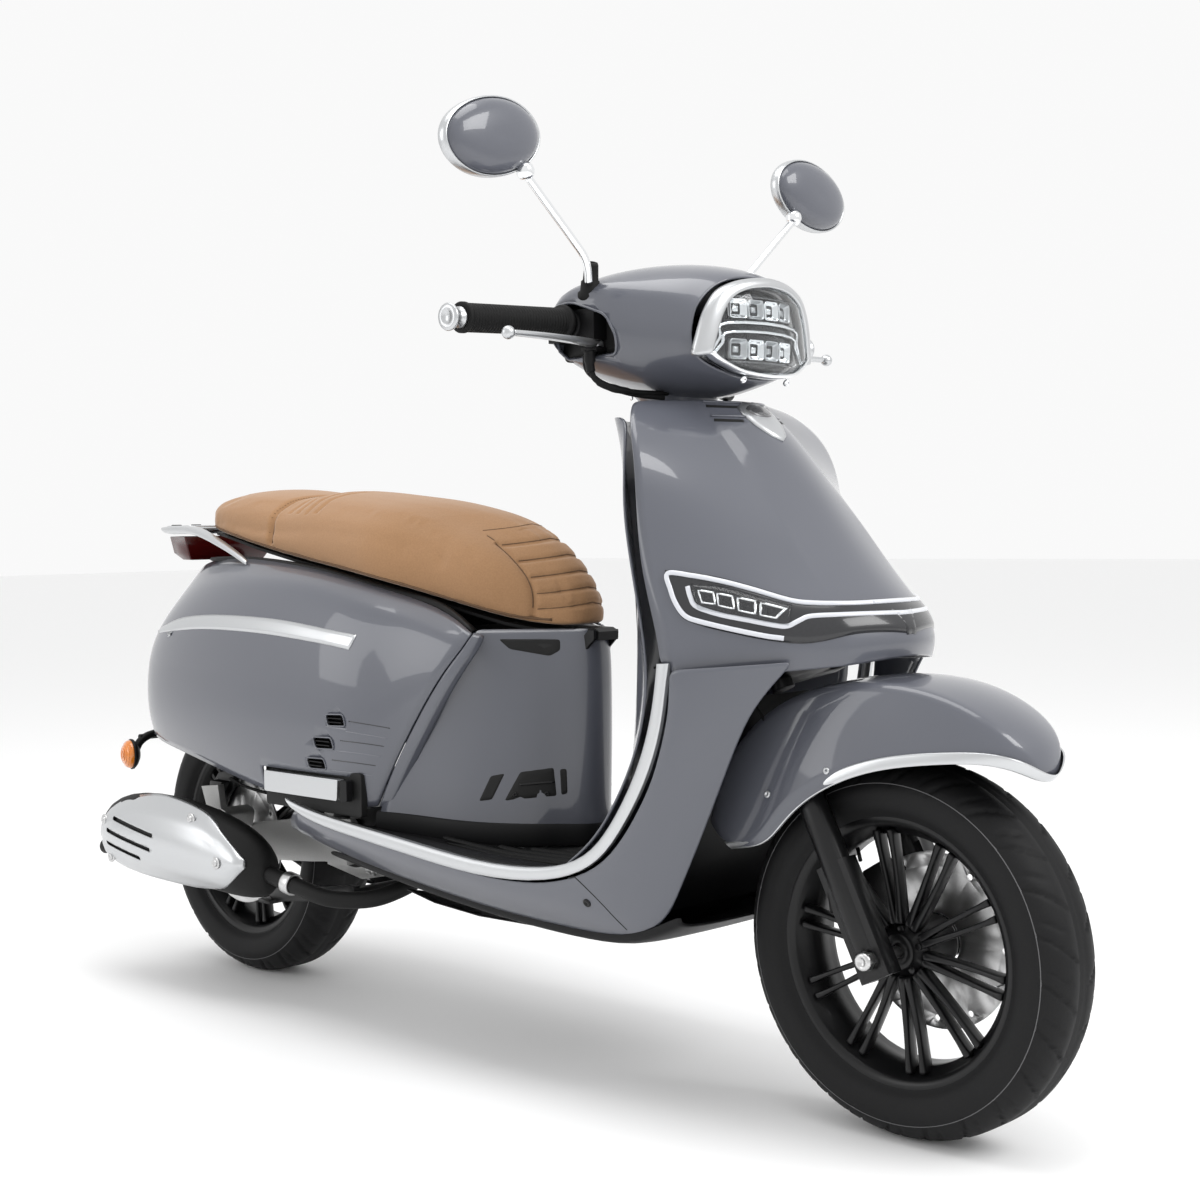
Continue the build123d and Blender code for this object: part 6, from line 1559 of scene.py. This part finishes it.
# ------------------------------------------------------------------ engine, exhaust, suspension, stand
cad_finish("engine_case", 2.4, "cast_alloy")
for n_ in ("shock_body", "shock_rod", "centre_stand"):
    cad_finish(n_, 0.8)
MX = [(-420, 26, 30, 212, -170), (-436, 40, 46, 219, -174), (-470, 54, 57, 228, -181), (-520, 62, 63, 238, -187), (-580, 65.5, 66, 246, -191), (-650, 66.5, 67, 252, -194), (-740, 62, 62, 256, -196), (-796, 52, 52, 254, -196), (-830, 36, 38, 249, -196), (-838, 22, 24, 247, -196)]
R = []
for x, ry, rz, zc, yc in MX:
    R.append([(x, yc + ry * 0.72 * math.cos(math.radians(a)), zc + rz * math.sin(math.radians(a))) for a in range(0, 360, 15)])
muf = loft("exhaust_silencer", R, "engine", "exhaust_black", sub=1, inset=0.6, replaces="muffler")
T_MUF = tree(muf)
hdr = [(-196, -48, 222), (-203, -88, 205), (-232, -126, 191), (-290, -156, 189), (-350, -168, 200), (-436, -172, 214)]
tube("exhaust_header", hdr, 13.0, "engine", "exhaust_black", k=8, seg=24)
turned("exhaust_flange", [(13, -4), (24, -4), (25, -2), (25, 3), (24, 5), (13, 5)], (-196, -50, 221), "engine", "cast_alloy", axis=(0.06, 1, 0.3), seg=28)
turned("exhaust_clamp", [(13, -9), (17, -9), (17.5, -7), (17.5, 7), (17, 9), (13, 9)], (-372, -169, 204), "engine", "steel", axis=(-1, -0.05, 0.15), seg=32)
turned("exhaust_tip", [(7, -2), (12, -2), (12.5, 26), (11, 28), (9.5, 27), (9, 4), (7, 2)], (-826, -200, 218), "engine", "exhaust_black", axis=(-1, -0.05, -0.15), seg=28)
# silver heat shield over the silencer
SH_T = [(-826, 224), (-828, 250), (-815, 276), (-775, 300), (-719, 316), (-644, 320), (-545, 305), (-485, 272), (-439, 236)]
SH_B = [(-826, 222), (-820, 205), (-800, 190), (-760, 184), (-700, 180), (-607, 178), (-530, 181), (-480, 191), (-439, 225)]
nU, nV = 36, 14
A = smooth_path([(x, z, 0) for x, z in SH_T], 6)
B = smooth_path([(x, z, 0) for x, z in SH_B], 6)
V = []
def pk(Q, f):
    x = f * (len(Q) - 1)
    i = min(int(x), len(Q) - 2)
    return Q[i].lerp(Q[i + 1], x - i)
for i in range(nU + 1):
    f = i / nU
    a, b = pk(A, f), pk(B, f)
    for j in range(nV + 1):
        g = j / nV
        q = a.lerp(b, g)
        co_, no_, _, _ = T_MUF.ray_cast(Vector((q.x / 1000, -0.5, q.y / 1000)), Vector((0, 1, 0)))
        if co_ is None:
            co_, no_, _, _ = T_MUF.find_nearest(Vector((q.x / 1000, -0.21, q.y / 1000)))
        y = co_.y * 1000
        edge = min(1.0, min(g, 1 - g) * 7, min(f, 1 - f) * 9)
        prof = 6.5 * math.sqrt(max(0.0, edge))
        # pressed ribs along the shield
        rib = 0.0
        for gg in (0.20, 0.80):
            rib += 2.2 * math.exp(-((g - gg) / 0.045) ** 2) * (1 if 0.10 < f < 0.85 else 0)
        V.append((q.x, min(y, -205 - 22 * math.sin(math.pi * g) ** 0.7 * math.sin(math.pi * min(1, f * 1.0)) ** 0.35) - prof * 0.6 - rib, q.y))
hs = piece("exhaust_heat_shield", V, grid_faces(nU + 1, nV + 1), "engine", "satin_silver", sub=1, solid=1.8, replaces="heat_shield")
SLOTS = [rounded([(-765, 279), (-640, 262), (-641, 255), (-766, 272)], 3, 3), rounded([(-790, 257), (-650, 238), (-651, 231), (-791, 250)], 3, 3), rounded([(-800, 234), (-690, 219), (-691, 212), (-801, 227)], 3, 3)]
cut(hs, [cutter(q, "y", -300, -190) for q in SLOTS])
T_HS = tree(hs)
for k, (x, z) in enumerate(((-800, 268), (-800, 205), (-488, 230), (-560, 292))):
    co_, no_, _, _ = T_HS.ray_cast(Vector((x / 1000, -0.5, z / 1000)), Vector((0, 1, 0)))
    if co_ is not None:
        turned(f"heat_shield_washer_{k}", [(3, -1), (9.5, -1), (10, 0.4), (9, 1.2), (3, 1.2)], tuple(co_ * 1000), "engine", "steel", axis=(0, -1, 0), seg=28)
        screw(f"heat_shield_screw_{k}", tuple(co_ * 1000 + Vector((0, -1, 0))), (0, -1, 0), 6.0, "engine", "steel", h=3.6)
# belt cover on the left with two round bosses and its screws; fan cover with slots and an oil filler on the right
prism("belt_cover", rounded([(-338, 212), (-338, 322), (-420, 340), (-560, 315), (-660, 294), (-708, 264), (-714, 216), (-686, 188), (-640, 178), (-480, 196)], 22, 5), "y", 123.5, 131, "engine", "black_plastic", bevel=3.0)
turned("belt_cover_boss", [(0, 6), (38, 5), (44, 2), (46, -1), (0, -1)], (-395, 131, 268), "engine", "cast_alloy", axis=(0, 1, 0), seg=64, close=False)
turned("belt_cover_boss_rear", [(0, 5), (34, 4), (39, 1), (40, -1), (0, -1)], (-650, 131, 232), "engine", "cast_alloy", axis=(0, 1, 0), seg=64, close=False)
for k, (x, z) in enumerate(((-350, 225), (-352, 308), (-430, 328), (-520, 312), (-610, 293), (-695, 255), (-668, 192), (-560, 196), (-450, 208))):
    screw(f"belt_cover_screw_{k}", (x, 131, z), (0, 1, 0), 5.0, "engine", "steel", h=3.2)
turned("fan_cover", [(0, 2), (20, 2), (22, 4), (46, 5), (52, 2), (54, -3), (54, -10), (0, -10)], (-350, -64, 270), "engine", "black_plastic", axis=(0, -1, 0), seg=64, close=False)
# slots in the fan cover, drawn as small dark blocks of painted shade
for k in range(10):
    a = math.radians(36 * k)
    block(f"fan_slot_{k}", -350 + 34 * math.cos(a) - 3, -350 + 34 * math.cos(a) + 3, -70.2, -68.4, 270 + 34 * math.sin(a) - 3, 270 + 34 * math.sin(a) + 3, "engine", "gap_black", bevel=0.5)
turned("oil_filler", [(0, 12), (9, 12), (10, 10), (10, 4), (13, 3), (13, 0), (0, 0)], (-300, -62, 222), "engine", "steel", axis=(0, -1, 0), seg=6, close=False)
tube("brake_line_rear", [(-300, -70, 300), (-400, -76, 318), (-520, -78, 316), (-620, -74, 322), (-676, -64, 330), (-690, -54, 326)], 2.6, "engine", "rubber_black", k=6, seg=10)
# a cast strap for the silencer at the right-hand arm
prism("silencer_strap", rounded([(-596, 258), (-574, 262), (-566, 292), (-590, 300), (-604, 288)], 8, 4), "y", -150, -94, "engine", "cast_alloy", bevel=2.0)


# ------------------------------------------------------------------ waist of the step-through
WAIST = ("seat_pedestal_skin", "pedestal_", "seat_latch", "side_cowl", "louvre_", "cowl_", "under_seat", "seat_cushion_cover", "seat_piping", "seat_stitches", "seat_line")
CAD_OBJECTS = list(CAD.values())


def waist(c):
    x, y, z = c
    if x < -235:
        return c
    g = min(1.0, (x + 235) / 200.0) if x < 165 else max(0.0, (255 - x) / 90.0)
    g = g * g * (3 - 2 * g)
    t = 42.0 * g
    k = min(1.0, abs(y) / 95.0)
    k = k * k * (3 - 2 * k)
    return Vector((x - 0.717 * t * (0.25 + 0.75 * k), y - math.copysign(0.696 * t * k, y), z))


for n_, b_ in (("main_frame", "root"), ("seat_base", "seat"), ("storage_bin", "root"), ("fuel_tank", "root")):
    q = bpy.data.objects.new(n_ + "_fitted", CAD[n_].data.copy())
    bpy.context.scene.collection.objects.link(q)
    q.matrix_world = CAD[n_].matrix_world.copy()
    for v in q.data.vertices:
        c = q.matrix_world @ v.co
        v.co = q.matrix_world.inverted() @ (Vector(waist(c * 1000)) / 1000)
    q.data.materials.clear()
    q.data.materials.append(M[{"main_frame": "frame_black", "seat_base": "black_plastic", "storage_bin": "black_plastic", "fuel_tank": "frame_black"}[n_]])
    for f in q.data.polygons:
        f.material_index = 0
    bv = q.modifiers.new("edge", "BEVEL")
    bv.width = 0.0008
    bv.segments = 2
    bv.limit_method = "ANGLE"
    q.modifiers.new("weighted", "WEIGHTED_NORMAL")
    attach(q, b_)
    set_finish(q, "black_plastic")
    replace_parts(q, n_)
for o in bpy.data.objects:
    if o.type != "MESH" or o in CAD_OBJECTS:
        continue
    if any(o.name.startswith(q) for q in WAIST):
        for v in o.data.vertices:
            v.co = waist(v.co * 1000) / 1000
        o.data.update()

# ------------------------------------------------------------------ floor, lights, camera
w = bpy.data.worlds.new("studio")
bpy.context.scene.world = w
w.use_nodes = True
w.node_tree.nodes["Background"].inputs["Color"].default_value = (1, 1, 1, 1)
w.node_tree.nodes["Background"].inputs["Strength"].default_value = 0.95


def area(name, loc, target, size, power, size_y=None):
    d = bpy.data.lights.new(name, "AREA")
    d.energy = power
    d.size = size
    if size_y:
        d.shape = "RECTANGLE"
        d.size_y = size_y
    o = bpy.data.objects.new(name, d)
    bpy.context.scene.collection.objects.link(o)
    o.location = loc
    o.rotation_mode = "QUATERNION"
    o.rotation_quaternion = (Vector(target) - Vector(loc)).to_track_quat("-Z", "Y")
    return o


area("key", (3.4, 0.6, 3.0), (0.1, 0, 0.5), 2.2, 70, 1.6)
area("top", (0.0, -0.4, 3.6), (0, 0, 0.4), 3.0, 48, 1.6)
area("side", (-2.2, -3.4, 1.9), (-0.2, 0, 0.5), 1.6, 24, 2.4)
fm = bpy.data.meshes.new("studio_floor")
fm.from_pydata([(-30, -30, 0), (30, -30, 0), (30, 30, 0), (-30, 30, 0)], [], [(0, 1, 2, 3)])
fo = bpy.data.objects.new("studio_floor", fm)
bpy.context.scene.collection.objects.link(fo)
fmat = bpy.data.materials.new("studio_floor")
fmat.use_nodes = True
fmat.node_tree.nodes["Principled BSDF"].inputs["Base Color"].default_value = (0.93, 0.93, 0.93, 1)
fmat.node_tree.nodes["Principled BSDF"].inputs["Roughness"].default_value = 0.7
fm.materials.append(fmat)
bpy.context.scene.view_settings.view_transform = "Standard"

cam = bpy.data.cameras.new("camera")
cam.sensor_width = 36
cam.lens = 1863.57 / 1200 * 36
cam.clip_end = 100
co = bpy.data.objects.new("camera", cam)
bpy.context.scene.collection.objects.link(co)
rot = Matrix((V_RIGHT, V_UP, -V_FWD)).transposed()
co.matrix_world = Matrix.Translation(V_POS / 1000) @ rot.to_4x4()
bpy.context.scene.camera = co
